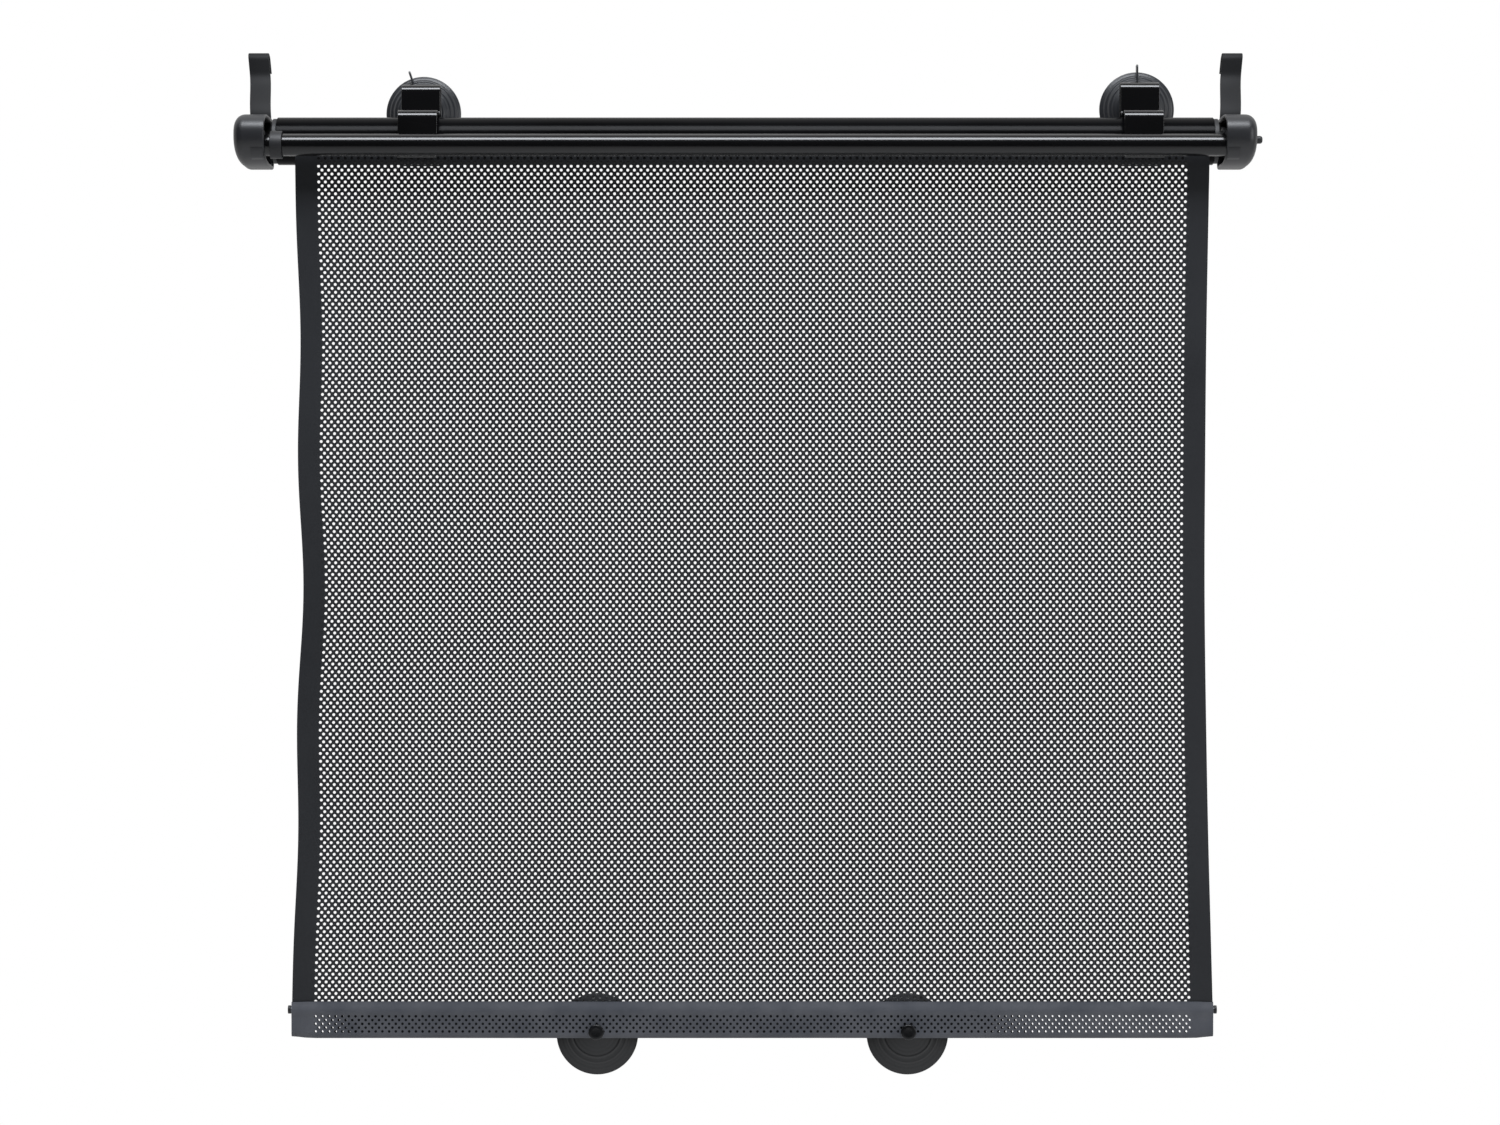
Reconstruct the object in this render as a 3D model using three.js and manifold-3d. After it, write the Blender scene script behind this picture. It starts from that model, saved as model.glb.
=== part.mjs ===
// Spring roller sunshade for a car's side window, drawn out to its full length.
// Millimetres. X runs along the roller, Y points at the window glass, Z is up.
// The origin is midway between the end caps, on the plane of the glass, at the roller's height.

import * as THREE from "three";
import { mergeVertices } from "three/addons/utils/BufferGeometryUtils.js";
import Module from "manifold-3d";

const wasm = await Module();
wasm.setup();

// Overall driving sizes
const halfSpan = 260; // inner faces of the end caps
const fit = 0.3; // clearance between pieces that touch, or turn on one another
const rollerY = -27; // roller axis in front of the glass
const drop = 472.8; // from the roller's axis to the hem's top edge, with the film drawn out

// Roller
const rollerRadius = 13;
const rollerWall = 0.8;
const rollerEndInset = 4; // bare plug that shows between the tube and each cap
const plugFlangeRadius = 12.3;
const plugFlangeGap = 1.6; // leaves room for the pawl beside the flange when the button is pressed
const plugDepth = 18;
const axleRadius = 3;
const idleAxleLength = 24; // how far the idle axle reaches in from the cap's inner face
const roundSides = 32;

// Rail in front of the roller
const railRadius = 6.05;
const railWall = 1;
const railY = -49.5;
const railZ = -4.4;
const railSeat = 6; // how far the rail enters each cap
const collarRadius = 7.5;
const collarGap = 2.6; // from the left cap's inner face to the collar
const collarLength = 6.5;
const socketWall = 1.5;

// End caps
const capLength = 17;
const capTop = 13;
const capHeight = 27.5;
const capFront = -59;
const capBack = -12.5;
const capNoseZ = 1;
const capTopFlatY = -38; // where the top starts to round towards the front
const capBottomFlatY = -27; // where the underside starts to round towards the front
const capNoseFullness = 2.5; // exponent of the front outline, 2 is an ellipse
const capBackRadius = 4;
const capEdgeRadius = 5.5;
const capWall = 2;
const capEndWall = 2.5;
const capBossRadius = 5.5;
const capBossLength = 8.5;

// Release button and ratchet, in the right cap
const buttonRadius = 2.15;
const buttonProud = 4.8;
const buttonRound = 1.4;
const buttonY = -38.2;
const buttonZ = -0.4;
const buttonStemRadius = 1.5;
const buttonFlangeRadius = 2.9;
const buttonFlangeThickness = 1.2;
const stemRibOffset = 5; // from the cap's inner face
const stemRibThickness = 1.5;
const buttonSpringRadius = 2.35;
const buttonSpringWire = 0.25;
const buttonSpringTurns = 4;
const ratchetRadius = 8;
const ratchetToothDepth = 1.2;
const ratchetTeeth = 12;
const ratchetThickness = 3;
const ratchetOffset = 1; // from the cap's inner face
const pawlClearance = 0.4;
const pawlWidth = 5;
const pawlThickness = 2.5;
const pawlBack = 1.8; // pawl in front of the stem's axis

// Spring motor inside the roller
const mandrelReach = 176; // how far the mandrel reaches in from the right cap
const springCollarRadius = 7;
const springCollarThickness = 5;
const springCollarInset = 32;
const springRadius = 5.6;
const springWire = 0.75;
const springTurns = 10;
const springSteps = 9;
const anchorThickness = 12;
const mandrelSeat = 10; // how deep the mandrel's end sits in the anchor

// Hanging hooks
const hookWidth = 11.4;
const hookInset = 6.8; // from the cap's inner face to the strip's middle
const hookThickness = 1.6;
const hookSlotY = -17;
const hookSeatDepth = 8; // how far the strip goes below the cap's top
const hookGlassGap = 5;
const hookTop = 52.2;
const hookReturn = 11;
const hookLean = 5.4; // degrees outward
const hookRiseStart = 14;
const hookRiseEnd = 41;

// Rail clips that hold the upper cups
const leftClipInset = 81.5; // from the left cap's inner face to the clip's middle
const rightClipInset = 43;
const clipCentres = { left: -halfSpan + leftClipInset, right: halfSpan - rightClipInset };
const clipWidth = 21.4;
const clipThickness = 1.2;
const clipHookAngle = 62; // how far the strip wraps under the rail, in degrees
const clipBendRadius = 4.4;
const clipShelfZ = 15.2;
const clipPlateY = -20;
const clipInnerBend = 2.4;
const clipFoldRadius = 3.9;
const clipFoldTops = { left: 31.7, right: 33 };
const clipLegBottom = -12.2;

// Suction cups
const upperCupRadius = 20.9;
const upperCupLevels = { left: 18.1, right: 20.6 }; // above the roller's axis
const upperCupDepth = 10.6;
const lowerCupRadius = 22.8;
const lowerCupDepth = 10.6;
const lowerCupSpacing = 172;
const lowerCupSag = 3; // the disc hangs this far below its neck
const cupLip = 2.4;
const cupHollowDepth = 3.7;
const cupNeckRadius = 2.2;
const cupHeadRadius = 4.25;
const cupHeadThickness = 3.2;
const cupSides = 26;
const tabThickness = 1.2;
const tabDepth = 5;
const tabReach = 25;
const tabRoot = 16;
const tabAngles = { left: -18.5, right: 0 }; // degrees from upright, about the cup's axis

// Perforated film
const filmCentreX = 3.8;
const filmThickness = 0.4;
const filmInset = 11.3; // how much narrower the film is on each side than the gap between the caps
const filmFlare = 5.1; // how much further out each edge is at the bottom than at the top
const filmTopHalfWidth = halfSpan - filmInset;
const filmBow = 4.5; // how far each side edge bows in at mid height
const filmBottomHalfWidth = filmTopHalfWidth + filmFlare;
const filmTopZ = 2.2;
const filmTuck = 2; // how far the film's lower edge goes down inside the hem
const filmBottomZ = -drop - filmTuck;
const filmBottomY = -14.2;
const filmMargin = 12;
const holeDiameter = 6;
const holeColumns = 12;
const holeRows = 10;
const sideSteps = 8;

// Hem pocket and its rod
const hemDepth = 20.2;
const hemTop = -drop;
const hemBottom = hemTop - hemDepth;
const hemOverhang = 0.2; // how far the hem reaches past the film's bottom corners
const hemHalfWidth = filmBottomHalfWidth + hemOverhang;
const hemThickness = 0.4;
const hemGripAngle = 45; // how far each layer follows the rod, above and below its middle
const rodRadius = 1.5;
const rodInset = 4.4; // below the hem's top edge
const rodZ = hemTop - rodInset;
const rodProud = 0.9; // how far the rod comes out of the hem at each end
const rodTipRadius = 2.3;
const rodTipLength = 1.6;
const hemNeckRise = 3.8; // the lower cups' necks above the hem's bottom edge
const hemNeckZ = hemBottom + hemNeckRise;

const group = new THREE.Group();

const black = (color, roughness, metalness = 0) =>
  new THREE.MeshStandardMaterial({ color, roughness, metalness });
const finishes = {
  cap: black(0x2d2f31, 0.55),
  rail: black(0x0c0d0e, 0.12),
  roller: black(0x17181a, 0.45),
  plug: black(0x1d1e20, 0.6),
  hook: black(0x37383a, 0.7),
  clip: black(0x0f1011, 0.15),
  cup: black(0x2c2e31, 0.35),
  film: black(0x26272b, 0.5),
  steel: black(0x9a9c9e, 0.35, 1),
  button: black(0x2a2b2d, 0.5),
};

// A closed geometry as a solid, with its faces turned outward.
function solid(geometry) {
  const plain = geometry.clone();
  plain.deleteAttribute("normal");
  plain.deleteAttribute("uv");
  const merged = mergeVertices(plain, 1e-4);
  const vertices = merged.attributes.position.array;
  const index = [];
  let volume = 0;
  for (let i = 0; i < merged.index.count; i += 3) {
    const [a, b, c] = [0, 1, 2].map((k) => merged.index.getX(i + k));
    if (a === b || b === c || c === a) continue;
    index.push(a, b, c);
    const [p, q, r] = [a, b, c].map((k) => new THREE.Vector3().fromArray(vertices, 3 * k));
    volume += p.dot(q.cross(r));
  }
  const turned = volume < 0 ? index.reverse() : index;
  return new wasm.Manifold(
    new wasm.Mesh({
      numProp: 3,
      vertProperties: Float32Array.from(vertices),
      triVerts: Uint32Array.from(turned),
    }),
  );
}

// A solid back as a geometry.
function surface(body) {
  const mesh = body.getMesh();
  const geometry = new THREE.BufferGeometry();
  geometry.setAttribute("position", new THREE.BufferAttribute(mesh.vertProperties, 3));
  geometry.setIndex(new THREE.BufferAttribute(mesh.triVerts, 1));
  geometry.computeVertexNormals();
  return geometry;
}

function add(name, body, finish) {
  const mesh = new THREE.Mesh(surface(body), finish);
  mesh.name = name;
  group.add(mesh);
  return mesh;
}

// A profile of [along, radius] points turned about a line parallel to X.
function turnedX(profile, y, z, sides = roundSides) {
  const points = profile.map(([along, radius]) => new THREE.Vector2(radius, along));
  const geometry = new THREE.LatheGeometry(points, sides);
  geometry.rotateZ(-Math.PI / 2);
  geometry.translate(0, y, z);
  return solid(geometry);
}

// A plain rod between two X positions.
function rodX(from, to, radius, y, z, sides = roundSides) {
  return turnedX([[from, 0], [from, radius], [to, radius], [to, 0]], y, z, sides);
}

// A tube between two X positions.
function tubeX(from, to, outer, inner, y, z, sides = roundSides) {
  const profile = [[from, inner], [from, outer], [to, outer], [to, inner], [from, inner]];
  return turnedX(profile, y, z, sides);
}

function block(x, y, z, width, depth, height) {
  const geometry = new THREE.BoxGeometry(width, depth, height);
  geometry.translate(x, y, z);
  return solid(geometry);
}

// A shape drawn in the YZ plane, extruded from one X position to another.
function extrudedX(outline, from, to) {
  const shape = new THREE.Shape(outline);
  const depth = Math.abs(to - from);
  const geometry = new THREE.ExtrudeGeometry(shape, { depth, bevelEnabled: false });
  const axes = new THREE.Matrix4().makeBasis(
    new THREE.Vector3(0, 1, 0),
    new THREE.Vector3(0, 0, 1),
    new THREE.Vector3(1, 0, 0),
  );
  geometry.applyMatrix4(axes);
  geometry.translate(Math.min(from, to), 0, 0);
  return solid(geometry);
}

// A thin strip along a centre line of [y, z] points, as a closed outline.
function stripOutline(line, thickness) {
  const sides = [[], []];
  line.forEach(([y, z], i) => {
    const before = line[Math.max(i - 1, 0)];
    const after = line[Math.min(i + 1, line.length - 1)];
    const along = new THREE.Vector2(after[0] - before[0], after[1] - before[1]).normalize();
    const step = thickness / 2;
    sides[0].push(new THREE.Vector2(y - along.y * step, z + along.x * step));
    sides[1].push(new THREE.Vector2(y + along.y * step, z - along.x * step));
  });
  return [...sides[0], ...sides[1].reverse()];
}

// Points on an arc about [y, z], from one angle to another in degrees. 0 points along +Y.
function arc(y, z, radius, from, to, steps) {
  return Array.from({ length: steps + 1 }, (_, i) => {
    const angle = THREE.MathUtils.degToRad(from + ((to - from) * i) / steps);
    return [y + radius * Math.cos(angle), z + radius * Math.sin(angle)];
  });
}

// A helical spring about a line parallel to X.
function coil(from, to, radius, wire, turns, stepsPerTurn, sides, y, z) {
  const steps = turns * stepsPerTurn;
  const points = Array.from({ length: steps + 1 }, (_, i) => {
    const angle = (2 * Math.PI * i) / stepsPerTurn;
    const x = from + wire + ((to - from - 2 * wire) * i) / steps;
    return new THREE.Vector3(x, y + radius * Math.cos(angle), z + radius * Math.sin(angle));
  });
  const section = new THREE.Shape();
  for (let i = 0; i < sides; i += 1) {
    const angle = (2 * Math.PI * i) / sides;
    const place = i === 0 ? "moveTo" : "lineTo";
    section[place](wire * Math.cos(angle), wire * Math.sin(angle));
  }
  const extrudePath = new THREE.CatmullRomCurve3(points);
  return solid(new THREE.ExtrudeGeometry(section, { extrudePath, steps, bevelEnabled: false }));
}

// End caps

// The cap's section in the YZ plane, drawn in by an inset.
function capSection(inset) {
  const top = capTop - inset;
  const bottom = capTop - capHeight + inset;
  const front = capFront + inset;
  const back = capBack - inset;
  const corner = Math.max(capBackRadius - inset, 0.6);
  const steps = 8;
  const outline = [];
  // A quarter of the rounded front, from the nose to the flat top or underside.
  const nose = (flatY, reachZ, backwards) => {
    for (let i = 0; i <= steps; i += 1) {
      const share = ((backwards ? steps - i : i) / steps) * (Math.PI / 2);
      const power = 2 / capNoseFullness;
      const y = flatY + (front - flatY) * Math.cos(share) ** power;
      const z = capNoseZ + (reachZ - capNoseZ) * Math.sin(share) ** power;
      outline.push(new THREE.Vector2(y, z));
    }
  };
  nose(capBottomFlatY, bottom, true);
  outline.pop();
  nose(capTopFlatY, top, false);
  outline.push(...arc(back - corner, top - corner, corner, 90, 0, 3).map((p) => new THREE.Vector2(...p)));
  outline.push(...arc(back - corner, bottom + corner, corner, 0, -90, 3).map((p) => new THREE.Vector2(...p)));
  return outline;
}

// The cap's outside: the section, rounded off at its outer end.
function capBody(side) {
  const stations = [[0, 0]];
  const roundSteps = 5;
  for (let i = 0; i <= roundSteps; i += 1) {
    const angle = (Math.PI / 2) * (i / roundSteps);
    const along = capLength - capEdgeRadius + capEdgeRadius * Math.sin(angle);
    stations.push([along, capEdgeRadius * (1 - Math.cos(angle))]);
  }
  const rings = stations.map(([along, inset]) =>
    capSection(inset).map((p) => [side * (halfSpan + along), p.x, p.y]),
  );
  const count = rings[0].length;
  const positions = rings.flat();
  const index = [];
  for (let ring = 0; ring + 1 < rings.length; ring += 1) {
    for (let i = 0; i < count; i += 1) {
      const a = ring * count + i;
      const b = ring * count + ((i + 1) % count);
      index.push(a, b, b + count, a, b + count, a + count);
    }
  }
  [0, (rings.length - 1) * count].forEach((start, end) => {
    const faces = THREE.ShapeUtils.triangulateShape(
      positions.slice(start, start + count).map((p) => new THREE.Vector2(p[1], p[2])),
      [],
    );
    faces.forEach(([a, b, c]) => {
      const face = end === 0 ? [a, b, c] : [a, c, b];
      index.push(...face.map((k) => start + k));
    });
  });
  const wall = new THREE.BufferGeometry();
  wall.setAttribute("position", new THREE.Float32BufferAttribute(positions.flat(), 3));
  wall.setIndex(index);
  return wall;
}

function endCap(side, name) {
  const inner = side * halfSpan;
  const at = (along) => inner + side * along;
  const outside = solid(capBody(side));
  const hollow = extrudedX(capSection(capWall), at(-1), at(capLength - capEndWall));
  const bossFrom = at(capLength - capEndWall - capBossLength);
  const bossTo = at(capLength - 1);
  const boss = rodX(Math.min(bossFrom, bossTo), Math.max(bossFrom, bossTo), capBossRadius, rollerY, 0);
  const socketTo = at(railSeat + socketWall);
  const socket = rodX(
    Math.min(inner, socketTo), Math.max(inner, socketTo),
    railRadius + fit + socketWall, railY, railZ,
  );
  let body = outside.subtract(hollow).add(boss).add(socket.intersect(outside));
  const slotBlock = block(
    side * hookCentre, hookSlotY, capTop,
    hookWidth + 2 * fit, hookThickness + 2 * fit, 2 * hookSeatDepth,
  );
  const holder = block(
    side * hookCentre, hookSlotY, capTop - hookSeatDepth / 2 - 0.5,
    hookWidth + 2 * fit + 3, hookThickness + 2 * fit + 3, hookSeatDepth + 1,
  );
  body = body.add(holder.intersect(outside)).subtract(slotBlock);
  const seatEnd = at(railSeat + fit);
  body = body.subtract(
    rodX(Math.min(at(-1), seatEnd), Math.max(at(-1), seatEnd), railRadius + fit, railY, railZ),
  );
  const axleEnd = at(capLength - capEndWall);
  body = body.subtract(
    rodX(Math.min(at(1), axleEnd), Math.max(at(1), axleEnd), axleRadius + fit, rollerY, 0),
  );
  if (side > 0) {
    const rib = block(
      at(stemRibOffset + stemRibThickness / 2), buttonY, capTop - capHeight / 2,
      stemRibThickness, 2 * (buttonFlangeRadius + 1), capHeight,
    );
    body = body.add(rib.intersect(outside));
    body = body.subtract(
      rodX(at(1), at(capLength - capEndWall - 1), buttonStemRadius + fit, buttonY, buttonZ, 20),
    );
    body = body.subtract(
      rodX(at(capLength - capEndWall - 1), at(capLength + 1), buttonRadius + fit, buttonY, buttonZ, 20),
    );
  }
  add(name, body, finishes.cap);
}

// Places that several pieces share
const hookCentre = halfSpan + hookInset;
const tubeEnd = halfSpan - rollerEndInset;
const axleTip = halfSpan + capLength - capEndWall - fit;

endCap(-1, "left_end_cap");
endCap(1, "right_end_cap");

// Rail and its collar
add(
  "front_rail",
  tubeX(
    -(halfSpan + railSeat), halfSpan + railSeat,
    railRadius, railRadius - railWall, railY, railZ, 28,
  ),
  finishes.rail,
);
add(
  "rail_collar",
  tubeX(
    -halfSpan + collarGap, -halfSpan + collarGap + collarLength,
    collarRadius, railRadius + fit, railY, railZ, 28,
  ),
  finishes.plug,
);

// Roller
const tubeBore = rollerRadius - rollerWall;
add("roller_tube", tubeX(-tubeEnd, tubeEnd, rollerRadius, tubeBore, rollerY, 0), finishes.roller);

const flangeEnd = halfSpan - plugFlangeGap;
function plugProfile() {
  return [
    [tubeEnd - plugDepth, axleRadius + fit],
    [tubeEnd - plugDepth, tubeBore - fit],
    [tubeEnd + fit, tubeBore - fit],
    [tubeEnd + fit, plugFlangeRadius],
    [flangeEnd, plugFlangeRadius],
    [flangeEnd, axleRadius + fit],
    [tubeEnd - plugDepth, axleRadius + fit],
  ];
}
const mirrored = (profile) => profile.map(([along, radius]) => [-along, radius]);
add("idle_plug", turnedX(mirrored(plugProfile()), rollerY, 0), finishes.plug);

// The ratchet is the nose of the right plug, just inside the cap.
function ratchetOutline() {
  const outline = [];
  for (let i = 0; i < ratchetTeeth; i += 1) {
    const start = (360 / ratchetTeeth) * i;
    const tooth = arc(rollerY, 0, 1, start, start + 360 / ratchetTeeth, 3);
    const radii = [ratchetRadius, ratchetRadius - ratchetToothDepth, ratchetRadius - ratchetToothDepth];
    radii.forEach((radius, k) => {
      const [y, z] = tooth[k];
      outline.push(new THREE.Vector2(rollerY + (y - rollerY) * radius, z * radius));
    });
  }
  return outline;
}
const ratchetFrom = halfSpan + ratchetOffset;
const ratchetTo = ratchetFrom + ratchetThickness;
const ratchetPlug = turnedX(plugProfile(), rollerY, 0)
  .add(rodX(flangeEnd - 1, ratchetFrom + 1, ratchetRadius - ratchetToothDepth - 1, rollerY, 0))
  .add(extrudedX(ratchetOutline(), ratchetFrom, ratchetTo))
  .subtract(rodX(tubeEnd - plugDepth - 1, ratchetTo + 1, axleRadius + fit, rollerY, 0));
add("ratchet_plug", ratchetPlug, finishes.plug);

add(
  "idle_axle",
  rodX(-axleTip, -(halfSpan - idleAxleLength), axleRadius, rollerY, 0, 20),
  finishes.steel,
);

// Spring motor
const collarAt = halfSpan - springCollarInset;
const mandrel = rodX(halfSpan - mandrelReach, axleTip, axleRadius, rollerY, 0, 20)
  .add(rodX(collarAt, collarAt + springCollarThickness, springCollarRadius, rollerY, 0, 20));
add("spring_mandrel", mandrel, finishes.steel);
const anchorAt = halfSpan - mandrelReach + mandrelSeat;
add(
  "spring_anchor",
  tubeX(anchorAt - anchorThickness, anchorAt, tubeBore - fit, axleRadius + fit, rollerY, 0),
  finishes.plug,
);
add(
  "roller_spring",
  coil(
    anchorAt + fit, collarAt - fit, springRadius, springWire,
    springTurns, springSteps, 5, rollerY, 0,
  ),
  finishes.steel,
);

// Release button, its pawl and return spring
const wallInside = halfSpan + capLength - capEndWall;
const flangeOut = wallInside - 1 - fit;
const flangeIn = flangeOut - buttonFlangeThickness;
const ribOut = halfSpan + stemRibOffset + stemRibThickness;
const buttonTip = halfSpan + capLength + buttonProud;
const pawlFrom = ratchetFrom + (ratchetThickness - pawlThickness) / 2;
const pawlTo = pawlFrom + pawlThickness;
const tipRound = arc(buttonTip - buttonRound, buttonRadius - buttonRound, buttonRound, 90, 0, 4);
const buttonProfile = [
  [pawlTo + fit, 0],
  [pawlTo + fit, buttonStemRadius],
  [flangeIn, buttonStemRadius],
  [flangeIn, buttonFlangeRadius],
  [flangeOut, buttonFlangeRadius],
  [flangeOut, buttonRadius],
  ...tipRound,
  [buttonTip, 0],
];
add("release_button", turnedX(buttonProfile, buttonY, buttonZ, 20), finishes.button);
const pawlFront = buttonY - pawlBack;
const pawlRear = rollerY - ratchetRadius - pawlClearance;
add(
  "lock_pawl",
  block(
    (pawlFrom + pawlTo) / 2, (pawlFront + pawlRear) / 2, buttonZ,
    pawlThickness, pawlRear - pawlFront, pawlWidth,
  ),
  finishes.steel,
);
add(
  "button_spring",
  coil(
    ribOut + fit, flangeIn - fit, buttonSpringRadius, buttonSpringWire,
    buttonSpringTurns, 10, 5, buttonY, buttonZ,
  ),
  finishes.steel,
);

// Hanging hooks: the strip rises from the cap, curves back to the glass and folds over its edge
function hangingHook(side, name) {
  const bend = hookGlassGap / 2 + hookThickness / 2;
  const glassLine = -hookThickness / 2;
  const rise = [];
  for (let i = 0; i <= 8; i += 1) {
    const share = i / 8;
    const ease = share * share * (3 - 2 * share);
    rise.push([
      hookSlotY + (glassLine - hookSlotY) * ease,
      hookRiseStart + (hookRiseEnd - hookRiseStart) * share,
    ]);
  }
  const bendZ = hookTop - hookThickness / 2 - bend;
  const line = [
    [hookSlotY, capTop - hookSeatDepth + fit],
    ...rise,
    [glassLine, hookRiseEnd + hookThickness],
    [glassLine, bendZ - hookThickness],
    ...arc(glassLine + bend, bendZ, bend, 180, 0, 8),
    [glassLine + 2 * bend, hookTop - hookReturn],
  ];
  const strip = surface(extrudedX(stripOutline(line, hookThickness), -hookWidth / 2, hookWidth / 2));
  const lean = THREE.MathUtils.degToRad(side * hookLean);
  const positions = strip.attributes.position;
  for (let i = 0; i < positions.count; i += 1) {
    const above = Math.max(positions.getZ(i) - hookRiseStart, 0);
    positions.setX(i, positions.getX(i) + side * hookCentre + above * Math.tan(lean));
  }
  add(name, solid(strip), finishes.hook);
}
hangingHook(-1, "left_hanging_hook");
hangingHook(1, "right_hanging_hook");

// Rail clips: one bent strip from under the rail, over the roller and down behind it
function railClip(name, x, foldTop, boreZ) {
  const wrap = railRadius + fit + clipThickness / 2;
  const legY = railY + wrap;
  const legR = clipBendRadius;
  const innerR = clipInnerBend;
  const line = [
    ...arc(railY, railZ, wrap, -clipHookAngle, 0, 5),
    ...arc(legY + legR, clipShelfZ - legR, legR, 180, 90, 5),
    ...arc(clipPlateY - innerR, clipShelfZ + innerR, innerR, -90, 0, 4),
    ...arc(clipPlateY + clipFoldRadius, foldTop - clipFoldRadius, clipFoldRadius, 180, 0, 8),
    [clipPlateY + 2 * clipFoldRadius, clipLegBottom],
  ];
  const legBackY = clipPlateY + 2 * clipFoldRadius;
  const strip = extrudedX(stripOutline(line, clipThickness), x - clipWidth / 2, x + clipWidth / 2);
  const boreFrom = legBackY - 2 * clipThickness;
  const boreTo = legBackY + 2 * clipThickness;
  const bore = rodY(boreFrom, boreTo, cupNeckRadius + fit, x, boreZ);
  add(name, strip.subtract(bore), finishes.clip);
  return legBackY;
}

// A plain rod along Y.
function rodY(from, to, radius, x, z, sides = 20) {
  const points = [[0, from], [radius, from], [radius, to], [0, to]].map((p) => new THREE.Vector2(...p));
  const geometry = new THREE.LatheGeometry(points, sides);
  geometry.translate(x, 0, z);
  return solid(geometry);
}

// Suction cups, turned about Y with the lip on the glass.
// The plate is the sheet that the neck passes through, from its glass side to its front.
function suctionCup(name, x, z, radius, height, plateBack, plateFront, sag, tabAngle) {
  const headBack = plateFront - fit;
  const headFront = headBack - cupHeadThickness;
  const neckFoot = plateBack + fit;
  const front = [
    [radius, -0.5],
    [radius - 0.6, -1.1],
    [radius * 0.75, -height * 0.36],
    [radius * 0.72, -height * 0.42],
    [radius * 0.55, -height * 0.6],
    [radius * 0.53, -height * 0.68],
    [radius * 0.3, -height * 0.9],
    [cupNeckRadius + 1.6, neckFoot],
    [cupNeckRadius, neckFoot],
    [cupNeckRadius, headBack],
    [cupHeadRadius, headBack],
    [cupHeadRadius, headFront + 1],
    [cupHeadRadius - 1, headFront],
    [0, headFront],
  ];
  const hollow = [
    [0, -cupHollowDepth],
    [radius * 0.5, -cupHollowDepth + 0.5],
    [radius - cupLip, -0.5],
    [radius - cupLip, 0],
    [radius, 0],
  ];
  const outline = [...hollow, ...front].map((p) => new THREE.Vector2(...p));
  const geometry = new THREE.LatheGeometry(outline, cupSides);
  const positions = geometry.attributes.position;
  for (let i = 0; i < positions.count; i += 1) {
    const share = Math.min(Math.max(-positions.getY(i) / -neckFoot, 0), 1);
    positions.setZ(i, positions.getZ(i) - sag * (1 - share));
  }
  geometry.translate(x, 0, z);
  let body = solid(geometry);
  if (tabAngle !== undefined) {
    const length = tabReach - tabRoot;
    const tongue = new THREE.BoxGeometry(tabThickness, tabDepth, length);
    tongue.translate(0, -tabDepth / 2 - 0.6, tabRoot + length / 2);
    tongue.rotateY(THREE.MathUtils.degToRad(tabAngle));
    tongue.translate(x, 0, z);
    body = body.add(solid(tongue));
  }
  add(name, body, finishes.cup);
}

for (const [side, x] of Object.entries(clipCentres)) {
  const cupZ = upperCupLevels[side];
  const legY = railClip(`${side}_rail_clip`, x, clipFoldTops[side], cupZ);
  suctionCup(
    `upper_${side}_cup`, x, cupZ, upperCupRadius, upperCupDepth,
    legY + clipThickness / 2, legY - clipThickness / 2, 0, tabAngles[side],
  );
}

// The film hangs from the roller's front, sloping back to the glass.
const filmTopY = rollerY - rollerRadius - fit - filmThickness / 2;
const filmSlope = (filmBottomY - filmTopY) / filmBottomZ;
const filmY = (z) => filmTopY + filmSlope * z;

// Half the film's width at a height, with its sides bowed in between the ends.
function filmHalfWidth(z) {
  const share = (filmTopZ - z) / (filmTopZ - filmBottomZ);
  const straight = filmTopHalfWidth + (filmBottomHalfWidth - filmTopHalfWidth) * share;
  return straight - filmBow * 4 * share * (1 - share);
}

function shadeFilm() {
  const levels = Array.from({ length: sideSteps + 1 }, (_, i) =>
    filmTopZ + ((filmBottomZ - filmTopZ) * i) / sideSteps,
  );
  const right = levels.map((z) => new THREE.Vector2(filmCentreX + filmHalfWidth(z), z));
  const left = levels.map((z) => new THREE.Vector2(filmCentreX - filmHalfWidth(z), z)).reverse();
  const shape = new THREE.Shape([...right, ...left]);
  const geometry = new THREE.ExtrudeGeometry(shape, { depth: filmThickness, bevelEnabled: false });
  const positions = geometry.attributes.position;
  for (let i = 0; i < positions.count; i += 1) {
    const [x, z, depth] = [positions.getX(i), positions.getY(i), positions.getZ(i)];
    positions.setXYZ(i, x, filmY(z) + depth - filmThickness / 2, z);
  }
  const fieldWidth = 2 * (filmTopHalfWidth - filmBow - filmMargin);
  const fieldTop = -rollerRadius - filmMargin;
  const fieldBottom = hemTop + filmMargin;
  const stepX = fieldWidth / holeColumns;
  const stepZ = (fieldTop - fieldBottom) / (holeRows - 1);
  const punches = [];
  for (let row = 0; row < holeRows; row += 1) {
    for (let column = 0; column < holeColumns; column += 1) {
      const shift = row % 2 ? 0.75 : 0.25;
      const x = filmCentreX - fieldWidth / 2 + (column + shift) * stepX;
      const z = fieldTop - row * stepZ;
      punches.push(rodY(filmY(z) - 2, filmY(z) + 2, holeDiameter / 2, x, z, 6));
    }
  }
  add("shade_film", solid(geometry).subtract(wasm.Manifold.union(punches)), finishes.film);
}
shadeFilm();

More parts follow.
